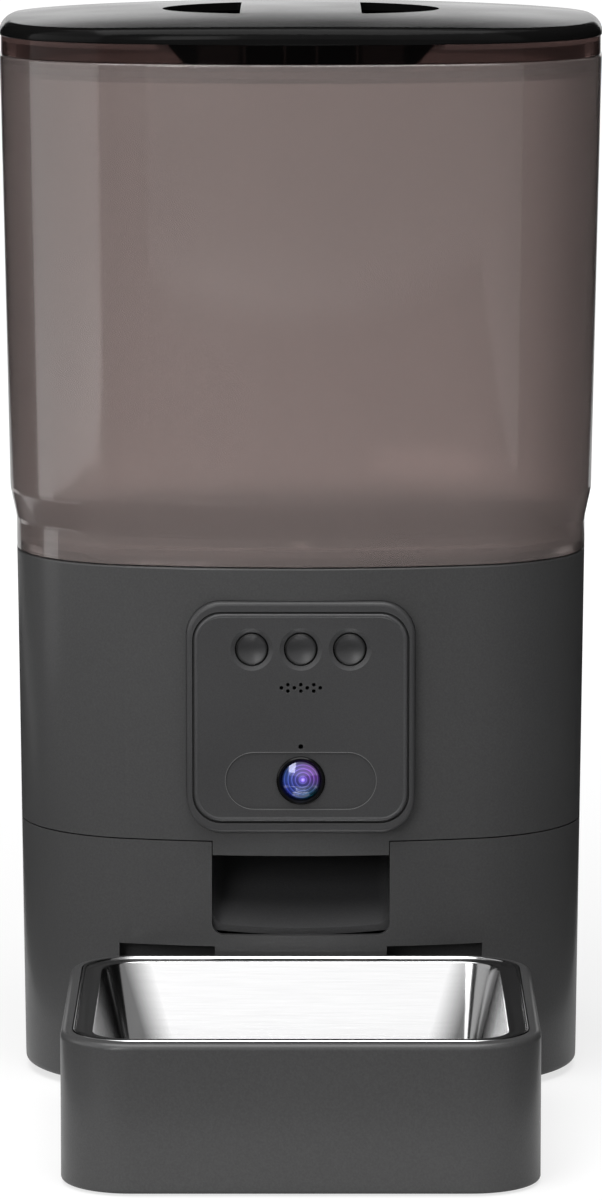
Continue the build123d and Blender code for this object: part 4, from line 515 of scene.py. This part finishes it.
def closed_tube(name, path, normal, radius, sides=8):
    """Mesh of a round wire along a closed flat path."""
    work = bmesh.new()
    rings = []
    for index, point in enumerate(path):
        tangent = (path[(index + 1) % len(path)] - path[index - 1]).normalized()
        side = tangent.cross(normal).normalized()
        turns = [tau * step / sides for step in range(sides)]
        rings.append([work.verts.new(point + radius * (cos(turn) * side + sin(turn) * normal))
                      for turn in turns])
    skin(work, rings + rings[:1])
    return finish_mesh(name, work)


def grown(name, tree, points, body, slot, **inputs):
    """Run a geometry tree on points and keep the result as a plain mesh."""
    holder = put_points(f"{name}_points", points)
    modifier = holder.modifiers.new("grow", "NODES")
    modifier.node_group = tree
    for item in tree.interface.items_tree:
        if item.item_type == "SOCKET" and item.in_out == "INPUT" and item.name in inputs:
            modifier[item.identifier] = inputs[item.name]
    bpy.context.view_layer.update()
    ready = holder.evaluated_get(bpy.context.evaluated_depsgraph_get())
    mesh = bpy.data.meshes.new_from_object(ready)
    bpy.data.objects.remove(holder)
    return add_piece(name, mesh, body)


def geometry_group(name, inputs):
    """A geometry tree with Geometry and Material inputs and the given ones."""
    geometry = "NodeSocketGeometry"
    sockets = [("Geometry", geometry, None), ("Material", "NodeSocketMaterial", None), *inputs]
    return new_group(name, "GeometryNodeTree", sockets, [("Geometry", geometry)])


def close_tree(tree, given, result, copies):
    """End a geometry tree: make its copies real and set their material."""
    solid = tree.add("GeometryNodeRealizeInstances", ("Geometry", copies))
    painted = tree.add("GeometryNodeSetMaterial", ("Geometry", solid.outputs[0]),
                       ("Material", given.outputs["Material"]))
    tree.join(painted.outputs[0], result.inputs["Geometry"])
    return tree.tree


# ---------------------------------------------------------------- registration
def settings():
    """The add-on's three groups of settings."""
    scene = bpy.context.scene
    return scene.feeder_finish, scene.feeder_parts, scene.feeder_studio


class PieceOperator(bpy.types.Operator):
    """Common ground of the operators that build or dress pieces."""

    bl_options = {"REGISTER", "UNDO"}


class FEEDER_OT_lid(PieceOperator):
    """Glossy cover, smoked liner and its rubber seal"""

    bl_idname = "feeder.lid"
    bl_label = "Lid"

    def execute(self, context):
        finish = settings()[0]
        dress(plastic("Polished Black", finish.cover_colour, 0.14, grain=6 * MM, depth=0.002 * MM,
                      spread=0.02, mottle=0.05, edge=0.0, specular=0.04, pebbles=0.0), "lid_cover")
        dress(liner_material(finish), "lid_liner")
        dress(plastic("Seal Rubber", (0.03, 0.03, 0.03), 0.6, edge=0.05), "lid_seal")
        return {"FINISHED"}


def liner_material(finish):
    """Smoked plastic with painted shade, black round the finger well where the well's dark hollow
    shows through, and painted highlights along its ribs.
    """
    material = plastic("Smoked Liner", finish.liner_colour, 0.10, grain=0.4 * MM, depth=0.001 * MM,
                       spread=0.02, transmission=0.9, edge=0.0, specular=0.1, ior=1.16, pebbles=0.0)
    reach = 40 * MM  # width that the ramps below cover, from the middle
    lean = 0.9  # how much wider the dark part is for each step down from the tank's top
    tree = Tree(material.node_tree)
    place = tree.places()
    across = tree.math("DIVIDE", beside_middle(tree, place, "lid_liner"), reach)
    below = tree.math("SUBTRACT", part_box("tank")[1].z, place["Z"])
    fall = tree.math("MULTIPLY", below, lean / reach)
    # painted shade of the well's dark hollow seen through, with paler lines at the ribs as painted
    # highlights
    painted_well_shade = tree.ramp(across, (0.10, 0.02), (0.115, 0.22), (0.13, 0.02), (0.39, 0.02),
                       (0.41, 0.22), (0.425, 0.03), (0.47, 0.14), (0.72, 0.12), (0.76, 0.02))
    unshaded_sides = tree.ramp(tree.math("ADD", across, fall), (0.83, 0.0), (0.86, 1.0))
    tree.shade(tree.blend(1.0, painted_well_shade, unshaded_sides, "LIGHTEN"))
    return material


class FEEDER_OT_tank(PieceOperator):
    """Smoked, finely frosted tank and the funnel under it"""

    bl_idname = "feeder.tank"
    bl_label = "Tank"

    def execute(self, context):
        finish = settings()[0]
        dress(plastic("Smoked Tank", finish.tank_colour, 0.22, grain=0.45 * MM, depth=0.006 * MM,
                      spread=0.02, transmission=0.85, coat=0.7, edge=0.0, mottle=0.10, specular=0.3,
                      ior=1.3, pebbles=0.0, thick=0.9), "tank")
        dress(plastic("Funnel Plastic", (0.045, 0.043, 0.043), 0.45), "tank_funnel")
        return {"FINISHED"}


class FEEDER_OT_housing(PieceOperator):
    """Dark moulded housings, tray, base plate, battery door, power inlet and feet"""

    bl_idname = "feeder.housing"
    bl_label = "Housing"

    def execute(self, context):
        finish = settings()[0]
        housing = plastic("Housing Plastic", finish.housing_colour, 0.50, grain=finish.grain_size,
                          depth=finish.grain_depth, edge=0.16, coat=0.25, coat_roughness=0.2)
        dress(housing, "upper_housing", "lower_housing", "bowl_tray")
        dress(plastic("Base Plastic", (0.040, 0.040, 0.042), 0.55), "bottom_plate", "battery_door")
        dress(plastic("Inlet Plastic", (0.012, 0.012, 0.013), 0.35), "dc_jack")
        dress(plastic("Foot Rubber", (0.028, 0.028, 0.028), 0.75, grain=0.3 * MM), "rubber_feet",
              "tray_pads")
        return {"FINISHED"}


class FEEDER_OT_dispenser(PieceOperator):
    """Rotor well, rotor, stirrer, wiper, chute and the infrared eyes"""

    bl_idname = "feeder.dispenser"
    bl_label = "Dispenser"

    def execute(self, context):
        dress(plastic("Well Plastic", (0.030, 0.030, 0.031), 0.42), "rotor_well", "outlet_chute")
        dress(plastic("Rotor Plastic", (0.60, 0.60, 0.57), 0.40, mottle=0.05), "rotor", "stirrer")
        dress(plastic("Wiper Rubber", (0.30, 0.30, 0.29), 0.6), "flow_limiter")
        dress(plastic("Eye Plastic", (0.012, 0.010, 0.014), 0.12, depth=0.004 * MM), "ir_emitter",
              "ir_receiver")
        dress(metal("Shaft Steel", (0.56, 0.56, 0.57), 0.25), "drive_shaft", "gear_pins")
        dress(metal("Bushing Brass", (0.80, 0.56, 0.22), 0.28), "shaft_bushing", "motor_pinion")
        dress(plastic("Gear Plastic", (0.72, 0.70, 0.62), 0.36, mottle=0.04), "output_gear",
              "second_idler", "first_idler")
        dress(plastic("Gearbox Plastic", (0.05, 0.05, 0.052), 0.48), "gearbox_case", "gearbox_lid")
        dress(metal("Motor Can", (0.52, 0.52, 0.53), 0.34), "gear_motor")
        return {"FINISHED"}


class FEEDER_OT_panel(PieceOperator):
    """Control panel with its seal, push-buttons, speaker and microphone"""

    bl_idname = "feeder.panel"
    bl_label = "Control Panel"

    def execute(self, context):
        finish, parts = settings()[:2]
        dress(plastic("Panel Plastic", finish.panel_colour, 0.40, grain=0.4 * MM, depth=0.012 * MM,
                      edge=0.30), "panel_frame", "panel_face")
        buttons = ("button_left", "button_centre", "button_right")
        dress(button_material(finish, buttons), *buttons)
        dress(plastic("Speaker Cloth", (0.006, 0.006, 0.006), 0.8, grain=0.25 * MM), "speaker")
        dress(plastic("Microphone Felt", (0.004, 0.004, 0.004), 0.9, grain=0.2 * MM, specular=0.05),
              "microphone")
        low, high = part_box("panel_face")
        size, inset = Vector((high.x - low.x, high.z - low.z)), parts.bevel_inset
        gasket = plastic("Gasket Rubber", (0.018, 0.018, 0.018), 0.6, edge=0.0)
        panel_ring("panel_gasket", "panel_face", size, parts.panel_corner, gasket,
                   behind=1.0 * MM, radius=parts.gasket_radius)
        # painted highlight: the rounded edge's cord is a paler copy of the panel colour
        painted_bevel_highlight = plastic("Bevel", [1.35 * c for c in finish.panel_colour], 0.3, edge=0.0,
                        depth=0.002 * MM)
        panel_ring("panel_bevel", "panel_face", size - Vector((2 * inset, 2 * inset)),
                   parts.panel_corner - inset, painted_bevel_highlight, behind=0.66 * MM,
                   radius=parts.bevel_radius, sides=24)
        line = plastic("Capsule Line", (0.10, 0.10, 0.10), 0.4, edge=0.0)
        panel_ring("capsule_line", "lens_bezel", parts.capsule_size, parts.capsule_size[1] / 2,
                   line, behind=0.05 * MM, radius=parts.capsule_line)
        return {"FINISHED"}


def panel_ring(name, about, size, corner, material, behind, radius, sides=8):
    """Round cord along a rounded rectangle about a solid, just behind the panel's front."""
    middle, front = centre_of(about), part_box("panel_face")[0].y
    path = [Vector((middle.x + x, front + behind, middle.z + z))
            for x, z in distinct(rounded_loop(*size, corner))]
    mesh = closed_tube(name, path, Vector((0, 1, 0)), radius, sides)
    add_piece(name, mesh, "base", material)


def button_material(finish, names):
    """Satin plastic with painted shade: it darkens to black round each button's rim, standing in
    for the shaded gap round it.
    """
    material = plastic("Button Plastic", finish.button_colour, 0.36, grain=0.4 * MM,
                       depth=0.003 * MM, spread=0.02, edge=0.0, specular=0.35)
    tree = Tree(material.node_tree)
    middle = centre_of(names[1])
    pitch = abs(centre_of(names[0]).x - middle.x)
    place = tree.places()
    turn = tree.math("ROUND", tree.math("DIVIDE", place["X"], pitch))
    across = tree.math("SUBTRACT", place["X"], tree.math("MULTIPLY", turn, pitch))
    up = tree.math("SUBTRACT", place["Z"], middle.z)
    away = tree.math("SQRT", tree.math("ADD", tree.math("MULTIPLY", across, across),
                                       tree.math("MULTIPLY", up, up)))
    share = tree.math("DIVIDE", away, finish.button_radius)
    # painted shade: black ring at each button's rim
    tree.shade(tree.ramp(share, (0.84, 1.0), (0.93, 0.06)))
    return material


class FEEDER_OT_camera(PieceOperator):
    """Camera lens, its ring, barrel and the fine rings painted in its glass as reflections"""

    bl_idname = "feeder.camera"
    bl_label = "Camera"

    def execute(self, context):
        dress(plastic("Lens Ring", (0.004, 0.004, 0.004), 0.16, grain=2 * MM, depth=0.002 * MM,
                      edge=0.0, specular=0.1), "lens_bezel")
        dress(plastic("Barrel Plastic", (0.004, 0.004, 0.005), 0.30), "camera_barrel")
        dress(lens_material(settings()[1].lens_rings), "lens_glass")
        return {"FINISHED"}


def lens_material(rings):
    """Coated glass with painted reflections: fine light rings, blue, violet and teal coating
    reflections in its quarters, and a painted glint near the middle.
    """
    material, tree, shader = new_material("Coated Lens")
    low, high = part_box("lens_glass")
    radius = (high.x - low.x) / 2
    from_middle = tree.vector("SUBTRACT", tree.place(), (low + high) / 2)
    flat = tree.vector("MULTIPLY", from_middle, (1 / radius, 0, 1 / radius))
    away = tree.vector("LENGTH", flat)
    from_eye = tree.vector("LENGTH", tree.vector("SUBTRACT", flat, (0.10, 0, 0.06)))
    split = tree.add("ShaderNodeSeparateXYZ", (0, flat)).outputs
    across, up = (tree.span(split[axis], -0.7, 0.7) for axis in "XZ")
    lower = tree.blend(across, (0.08, 0.09, 0.46, 1), (0.006, 0.22, 0.14, 1))
    upper = tree.blend(across, (0.14, 0.27, 0.46, 1), (0.66, 0.12, 0.70, 1))
    # painted reflection: coating colours by quarter
    painted_coating_reflection = tree.blend(up, lower, upper)
    # painted reflection: light rings round the eye
    wave = tree.math("FRACT", tree.math("MULTIPLY", from_eye, rings * 1.1))
    line = tree.ramp(wave, (0.0, 0.9), (0.16, 0.42), (0.55, 0.25), (0.86, 0.30), (1.0, 1.0))
    tone = tree.blend(1.0, painted_coating_reflection, line, "MULTIPLY")
    # painted glint: a bright spot near the middle
    painted_pupil_glint = tree.ramp(from_eye, (0.0, (0.75, 0.62, 0.95)), (0.07, (0.35, 0.20, 0.60)),
                      (0.16, (0.02, 0.01, 0.06)), (0.22, (0.0, 0.0, 0.0)))
    rim = tree.ramp(away, (0.0, 1.0), (0.78, 1.0), (0.96, 0.08))
    tone = tree.blend(1.0, tree.blend(1.0, tone, painted_pupil_glint, "ADD"), rim, "MULTIPLY")
    tree.join(tree.blend(1.0, tone, (1.5, 1.5, 1.5, 1), "MULTIPLY"), shader.inputs["Base Color"])
    cloud = effect(tree, "Smudge", ("Size", 3 * MM), ("Low", 0.06), ("High", 0.10))
    tree.join(cloud.outputs["Value"], shader.inputs["Roughness"])
    set_inputs(shader, ("IOR", 1.6), ("Coat Weight", 1.0), ("Coat Roughness", 0.02),
               ("Coat Tint", (0.55, 0.6, 1.0, 1.0)))
    return material


class FEEDER_OT_electronics(PieceOperator):
    """Circuit boards"""

    bl_idname = "feeder.electronics"
    bl_label = "Electronics"

    def execute(self, context):
        dress(plastic("Circuit Board", (0.012, 0.10, 0.045), 0.30, grain=1.2 * MM, depth=0.01 * MM,
                      mottle=0.35, pebbles=0.0), "main_board", "camera_board", "button_board")
        return {"FINISHED"}


class FEEDER_OT_bowl(PieceOperator):
    """Polished steel bowl"""

    bl_idname = "feeder.bowl"
    bl_label = "Bowl"

    def execute(self, context):
        finish, parts = settings()[:2]
        steel = bowl_material(finish)
        bowl = add_piece("steel_bowl_polished", bowl_mesh(parts), "bowl", steel)
        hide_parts("steel_bowl")
        return {"FINISHED"}


def bowl_material(finish):
    """Polished steel with painted dark reflections towards the bowl's left and right ends."""
    steel = metal("Polished Steel", finish.steel_colour, 0.15, stroke_depth=0.00001 * MM,
                  spread=0.01)
    lean = 0.3  # how much sooner the dark part starts for each step down from the flange
    tree = Tree(steel.node_tree)
    place = tree.places()
    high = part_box("steel_bowl")[1]
    fall = tree.math("MULTIPLY", tree.math("SUBTRACT", high.z, place["Z"]), lean)
    across = tree.math("ADD", beside_middle(tree, place, "steel_bowl"), fall)
    # painted reflection: darker towards the ends, starting sooner lower down
    tree.shade(tree.ramp(tree.math("DIVIDE", across, high.x), (0.69, 1.0), (0.82, 0.18)))
    return steel


def bowl_mesh(parts):
    """Drawn bowl with a flange, a rolled bead on its edge, leaning walls and a rounded floor."""
    low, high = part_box("steel_bowl")
    middle, top = (low + high) / 2, high.z
    sheet, bead, lip = parts.bowl_sheet, parts.bead_radius, parts.bowl_lip_round
    lean = parts.bowl_lean
    slope = sin(lean) / cos(lean)
    least_corner = 0.6 * MM

    def arc(inset, z, radius, start, end, steps=8):
        """Points round a centre, as (inset from the flange's edge, z)."""
        turns = [start + (end - start) * step / steps for step in range(steps + 1)]
        return [(inset + radius * cos(turn), z + radius * sin(turn)) for turn in turns]

    def wall(start, floor, radius, steps=10):
        """Leaning wall from its top down and round to the floor."""
        foot = start + (top - floor) * slope
        reach = radius * (1 - sin(lean)) / cos(lean)
        bend = arc(foot + reach, floor + radius, radius, pi + lean, 1.5 * pi, steps)
        fall = bend[0][1] - top
        side = [(start - fall * share * slope, top + fall * share)
                for share in (0.06, 0.1, 0.5, 0.96)]
        return side + bend + [(bend[-1][0] + step, floor) for step in (1 * MM, 4 * MM)]

    inner = parts.flange_width + sheet
    rounding = arc(inner + lip * slope - lip / cos(lean), top - lip, lip, pi / 2, lean)
    profile = wall(inner, low.z + sheet, parts.bowl_floor_round - sheet)[::-1] + rounding[::-1]
    profile += [(inner - 1.2 * MM, top), (2.2 * bead, top)]
    profile += arc(bead, top + 0.5 * bead, bead, 0, pi)
    profile += [(0, top - sheet), (parts.flange_width * 0.95, top - sheet)]
    profile += wall(parts.flange_width, low.z, parts.bowl_floor_round)
    loops = []
    for inset, z in profile:
        corner = max(parts.flange_corner - inset, least_corner)
        loop = rounded_loop(high.x - low.x - 2 * inset, high.y - low.y - 2 * inset, corner, 16)
        loops.append([Vector((middle.x + x, middle.y + y, z)) for x, y in loop])
    return lofted("steel_bowl_polished", loops)


class FEEDER_OT_springs(PieceOperator):
    """Battery contact plates with their coil springs"""

    bl_idname = "feeder.springs"
    bl_label = "Battery Contacts"

    def execute(self, context):
        parts = settings()[1]
        nickel = metal("Contact Nickel", (0.70, 0.69, 0.66), 0.24)
        dress(nickel, "battery_contacts")
        boxes = islands("battery_contacts")
        front = min(low.y for low, high in boxes)
        spots = [Vector(((low.x + high.x) / 2, high.y, (low.z + high.z) / 2))
                 for low, high in boxes if low.y < front + 1 * MM]
        grown("battery_springs", spring_tree(), spots, "base", "contact_metal", Material=nickel,
              Wire=parts.spring_wire, Turns=parts.spring_turns, Base=parts.spring_base,
              Tip=parts.spring_tip, Length=parts.spring_length)
        return {"FINISHED"}


def spring_tree():
    """Conical coil springs that stand out towards the back."""
    tree, given, result = geometry_group("Coil Springs", [
        ("Wire", FLOAT, 0.35 * MM), ("Turns", FLOAT, 4.0), ("Base", FLOAT, 5.5 * MM),
        ("Tip", FLOAT, 2.5 * MM), ("Length", FLOAT, 6.0 * MM)])
    value = given.outputs
    coil = tree.add("GeometryNodeCurveSpiral", ("Resolution", 20), ("Rotations", value["Turns"]),
                    ("Start Radius", value["Base"]), ("End Radius", value["Tip"]),
                    ("Height", value["Length"]))
    section = tree.add("GeometryNodeCurvePrimitiveCircle", ("Resolution", 8),
                       ("Radius", value["Wire"]))
    wire = tree.add("GeometryNodeCurveToMesh", ("Curve", coil.outputs[0]),
                    ("Profile Curve", section.outputs[0]), ("Fill Caps", True))
    smooth = tree.add("GeometryNodeSetShadeSmooth", ("Geometry", wire.outputs[0]))
    copies = tree.add("GeometryNodeInstanceOnPoints", ("Points", value["Geometry"]),
                      ("Instance", smooth.outputs[0]), ("Rotation", (-pi / 2, 0, 0)))
    return close_tree(tree, given, result, copies.outputs[0])


class FEEDER_OT_screws(PieceOperator):
    """Pan-head screws with cross recesses and threads"""

    bl_idname = "feeder.screws"
    bl_label = "Screws"

    def execute(self, context):
        parts = settings()[1]
        steel = metal("Screw Steel", (0.40, 0.40, 0.41), 0.30)
        tree = screw_tree()
        for node in ("base_screws", "well_screws", "gearbox_screws", "board_screws"):
            boxes = islands(node)
            axis = 1 if node == "board_screws" else 2  # into the panel, or up from below
            heads = []
            for low, high in boxes:
                head = (low + high) / 2
                head[axis] = low[axis]
                heads.append(head)
            size = boxes[0][1] - boxes[0][0]
            made = grown(f"{node}_detailed", tree, heads, "base", "screw_steel", Material=steel,
                         Width=size.x, Length=size[axis], Turn=(axis * pi / 2, 0, 0),
                         Recess=parts.recess_width, Depth=parts.recess_depth,
                         Pitch=parts.thread_pitch)
            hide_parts(node)
        return {"FINISHED"}


def screw_tree():
    """A screw whose head's face is at the point and whose shank runs away from the turn's +Z."""
    tree, given, result = geometry_group("Pan Head Screw", [
        ("Width", FLOAT, 5.6 * MM), ("Length", FLOAT, 11.8 * MM), ("Recess", FLOAT, 0.8 * MM),
        ("Depth", FLOAT, 0.9 * MM), ("Pitch", FLOAT, 1.1 * MM),
        ("Turn", "NodeSocketRotation", None)])
    value = given.outputs

    def times(first, second):
        """Product of two numbers."""
        return tree.math("MULTIPLY", first, second)

    def moved(shape, height):
        """The shape at another height."""
        shift = tree.add("ShaderNodeCombineXYZ", ("Z", height)).outputs[0]
        return tree.add("GeometryNodeTransform", ("Geometry", shape),
                        ("Translation", shift)).outputs[0]

    head_height, head_taper, thread_ridge = 1.5 * MM, 0.8, 0.3 * MM
    shank_share, arm_share = 0.2, 0.55  # of the head's width
    head_radius, shank_radius = times(value["Width"], 0.5), times(value["Width"], shank_share)
    shank_length = tree.math("SUBTRACT", value["Length"], head_height)
    head = tree.add("GeometryNodeMeshCone", ("Vertices", 32),
                    ("Radius Top", times(head_radius, head_taper)), ("Radius Bottom", head_radius),
                    ("Depth", head_height)).outputs[0]
    carved = tree.add("GeometryNodeMeshBoolean", ("Mesh 1", moved(head, -head_height)),
                      operation="DIFFERENCE", solver="EXACT")
    arm, deep = times(value["Width"], arm_share), times(value["Depth"], 2.0)
    for across, along in ((arm, value["Recess"]), (value["Recess"], arm)):
        size = tree.add("ShaderNodeCombineXYZ", ("X", across), ("Y", along), ("Z", deep))
        cut = tree.add("GeometryNodeMeshCube", ("Size", size.outputs[0])).outputs[0]
        tree.join(cut, carved.inputs["Mesh 2"])
    shank = tree.add("GeometryNodeMeshCylinder", ("Vertices", 16), ("Radius", shank_radius),
                     ("Depth", shank_length)).outputs["Mesh"]
    drop = tree.math("SUBTRACT", times(shank_length, -0.5), head_height)
    thread = tree.add("GeometryNodeCurveSpiral", ("Resolution", 14),
                      ("Rotations", tree.math("DIVIDE", shank_length, value["Pitch"])),
                      ("Start Radius", shank_radius), ("End Radius", shank_radius),
                      ("Height", times(shank_length, 0.96)))
    ridge = tree.add("GeometryNodeCurvePrimitiveCircle", ("Resolution", 4),
                     ("Radius", thread_ridge))
    coil = tree.add("GeometryNodeCurveToMesh", ("Curve", thread.outputs[0]),
                    ("Profile Curve", ridge.outputs[0]), ("Fill Caps", True)).outputs[0]
    whole = tree.add("GeometryNodeJoinGeometry")
    for piece in (moved(coil, times(value["Length"], -0.98)), moved(shank, drop),
                  carved.outputs["Mesh"]):
        tree.join(piece, whole.inputs[0])
    copies = tree.add("GeometryNodeInstanceOnPoints", ("Points", value["Geometry"]),
                      ("Instance", whole.outputs[0]), ("Rotation", value["Turn"]))
    return close_tree(tree, given, result, copies.outputs[0])


BEHIND = 2.0
# name: (start, end, lower edge, upper edge); starts and ends are from the body's middle
UPRIGHT_CARDS = {
    "left_card": ((-0.62, 0.125), (-0.62, BEHIND), 0, 1.2),
    "gap_card": ((-0.60, -0.63), (-0.34, -0.70), 0, 1.2),
    "right_card": ((0.62, -0.38), (0.62, BEHIND), 0, 1.2),
    "low_card": ((-0.30, -0.30), (-0.30, 0.1), 0, 0.085),
    "back_card": ((-2.5, BEHIND - 0.5), (2.5, BEHIND - 0.5), 0.50, 3.0),
}
# low cards round the bowl: their joints, in degrees from the front, and their edges
BOWL_CARD_TURNS = (9, 40, 70, 100)
BOWL_CARD_RADIUS, BOWL_CARD_CENTRE = 0.5, -0.08
BOWL_CARD_EDGES = (0.042, 0.112)
QUAD = [(0, 1, 2, 3)]


class FEEDER_OT_stage(PieceOperator):
    """White floor, soft lamps, mirrored cards, world and camera"""

    bl_idname = "feeder.stage"
    bl_label = "Studio"

    def execute(self, context):
        studio = settings()[2]
        scene = context.scene
        scene.view_settings.view_transform = "Standard"
        make_floor()
        make_world(scene, studio.world_light)
        body = centre_of("upper_housing").y
        middle = Vector((0, body, CAD_BOX[1].z / 2))
        soft_lamp("Key", middle, (-0.75, -1.6, 0.6), (0.8, 0.8), studio.key_power)
        soft_lamp("Top", middle, (-0.1, -0.4, 1.4), (1.4, 1.4), studio.top_power)
        strip = soft_lamp("Strip", middle, (-0.98, -0.27, 0.05), (1.14, 1.1), studio.strip_power)
        strip.visible_diffuse = False
        for name, (start, end, low, high) in UPRIGHT_CARDS.items():
            upright_card(name, (start[0], body + start[1]), (end[0], body + end[1]), low, high)
        make_bowl_cards()
        front, depth = body - 0.28, 1.42
        floor_card("front_floor_card", (-1, 1), (front - depth, front))
        floor_card("left_floor_card", (-0.5, -0.16), (front, 0.9))
        floor_card("right_floor_card", (0.15, 1), (front, 1.2))
        lens = bpy.data.cameras.new("View")
        lens.lens = studio.focal_length
        lens.sensor_width = 36
        lens.shift_x, lens.shift_y = studio.camera_shift
        lens.clip_end = 60
        viewer = put("View", lens)
        viewer.location = (0, body - studio.camera_distance, studio.camera_height)
        viewer.rotation_euler = (pi / 2 - studio.camera_pitch, 0, 0)
        scene.camera = viewer
        return {"FINISHED"}


def make_floor():
    """Wide floor that looks white and keeps the object's soft shadow."""
    reach, glow_share, near, far, brightest = 12.0, 0.72, 0.3, 1.3, 1.4
    floor = put_points("floor", level_corners((-reach, reach), (-reach, reach), 0), QUAD)
    material, tree, shader = new_material("White Floor")
    material.node_tree.nodes.remove(shader)
    path = tree.add("ShaderNodeLightPath")
    matte = tree.add("ShaderNodeBsdfDiffuse", ("Color", (0.85, 0.85, 0.85, 1)))
    away = tree.vector("LENGTH", tree.place())
    level = tree.span(away, near, far, 1.0, brightest, "SMOOTHSTEP")
    glow = tree.add("ShaderNodeEmission", ("Strength", level))
    share = tree.math("MULTIPLY", path.outputs["Is Camera Ray"], glow_share)
    mix = tree.add("ShaderNodeMixShader", (0, share), (1, matte.outputs[0]), (2, glow.outputs[0]))
    tree.join(mix.outputs[0], material.node_tree.nodes["Material Output"].inputs["Surface"])
    floor.data.materials.append(material)


def make_world(scene, strength):
    """World that gives even light, and is white where it is seen or mirrored."""
    world = bpy.data.worlds.new("Studio")
    scene.world = world
    world.use_nodes = True
    tree = Tree(world.node_tree)
    world.node_tree.nodes.clear()
    path = tree.add("ShaderNodeLightPath")
    seen = tree.math("MAXIMUM", path.outputs["Is Camera Ray"], path.outputs["Is Glossy Ray"])
    seen = tree.math("MAXIMUM", seen, path.outputs["Is Transmission Ray"])
    level = tree.span(seen, 0.0, 1.0, strength, 1.0)
    sky = tree.add("ShaderNodeBackground", ("Color", (1, 1, 1, 1)), ("Strength", level))
    tree.join(sky.outputs[0], tree.add("ShaderNodeOutputWorld").inputs["Surface"])


def soft_lamp(name, target, offset, size, power):
    """Rectangular area lamp at an offset from the target that it is aimed at."""
    data = bpy.data.lights.new(name, "AREA")
    data.shape = "RECTANGLE"
    data.size, data.size_y = size
    data.energy = power
    lamp = put(name, data)
    lamp.location = target + Vector(offset)
    lamp.rotation_euler = (-Vector(offset)).to_track_quat("-Z", "Y").to_euler()
    return lamp


def make_bowl_cards():
    """Two arcs of low cards round the bowl, open at its front."""
    for side, word in ((-1, "left"), (1, "right")):
        stops = [(side * BOWL_CARD_RADIUS * sin(radians(turn)),
                  BOWL_CARD_CENTRE - BOWL_CARD_RADIUS * cos(radians(turn)))
                 for turn in BOWL_CARD_TURNS]
        for number, (start, end) in enumerate(zip(stops, stops[1:])):
            upright_card(f"bowl_card_{word}_{number}", start, end, *BOWL_CARD_EDGES)


def upright_card(name, start, end, low, high):
    """Dark card that stands over a line on the floor."""
    make_card(name, [(*start, low), (*end, low), (*end, high), (*start, high)])


def level_corners(across, along, z):
    """Corners of a level rectangle."""
    (left, right), (near, far) = across, along
    return [(left, near, z), (right, near, z), (right, far, z), (left, far, z)]


def floor_card(name, across, along):
    """Dark card that lies just over the floor."""
    make_card(name, level_corners(across, along, 1 * MM))


def make_card(name, corners):
    """Dark card that is seen only where it is mirrored."""
    card = put_points(name, corners, QUAD)
    material, _, shader = new_material("Dark Card")
    set_inputs(shader, ("Base Color", (0.01, 0.01, 0.01, 1)), ("Roughness", 0.9),
               ("Specular IOR Level", 0.0))
    card.data.materials.append(material)
    for ray in ("camera", "diffuse", "transmission", "shadow"):
        setattr(card, f"visible_{ray}", False)


OPERATORS = (FEEDER_OT_lid, FEEDER_OT_tank, FEEDER_OT_housing, FEEDER_OT_dispenser, FEEDER_OT_panel,
             FEEDER_OT_camera, FEEDER_OT_electronics, FEEDER_OT_bowl, FEEDER_OT_springs,
             FEEDER_OT_screws, FEEDER_OT_stage)


class FEEDER_PT_looks(bpy.types.Panel):
    """Lists the feeder's operators and settings"""

    bl_label = "Pet Feeder"
    bl_idname = "FEEDER_PT_looks"
    bl_space_type = "VIEW_3D"
    bl_region_type = "UI"
    bl_category = "Feeder"

    def draw(self, context):
        for group in settings():
            box = self.layout.box()
            for name in group.bl_rna.properties.keys():
                if name not in ("rna_type", "name"):
                    box.prop(group, name)
        for operator in OPERATORS:
            self.layout.operator(operator.bl_idname)


GROUP_CLASSES = (FeederFinish, FeederParts, FeederStudio)
CLASSES = (*GROUP_CLASSES, *OPERATORS, FEEDER_PT_looks)


def register():
    """Register the classes and hang the settings on the scene."""
    for item in CLASSES:
        bpy.utils.register_class(item)
    bpy.types.Scene.feeder_finish = PointerProperty(type=FeederFinish)
    bpy.types.Scene.feeder_parts = PointerProperty(type=FeederParts)
    bpy.types.Scene.feeder_studio = PointerProperty(type=FeederStudio)


def unregister():
    """Undo what register did."""
    del bpy.types.Scene.feeder_studio
    del bpy.types.Scene.feeder_parts
    del bpy.types.Scene.feeder_finish
    for item in reversed(CLASSES):
        bpy.utils.unregister_class(item)


def main():
    """Build everything in order."""
    register()
    for operator in OPERATORS:
        group, name = operator.bl_idname.split(".")
        getattr(getattr(bpy.ops, group), name)()


if __name__ == "__main__":
    main()
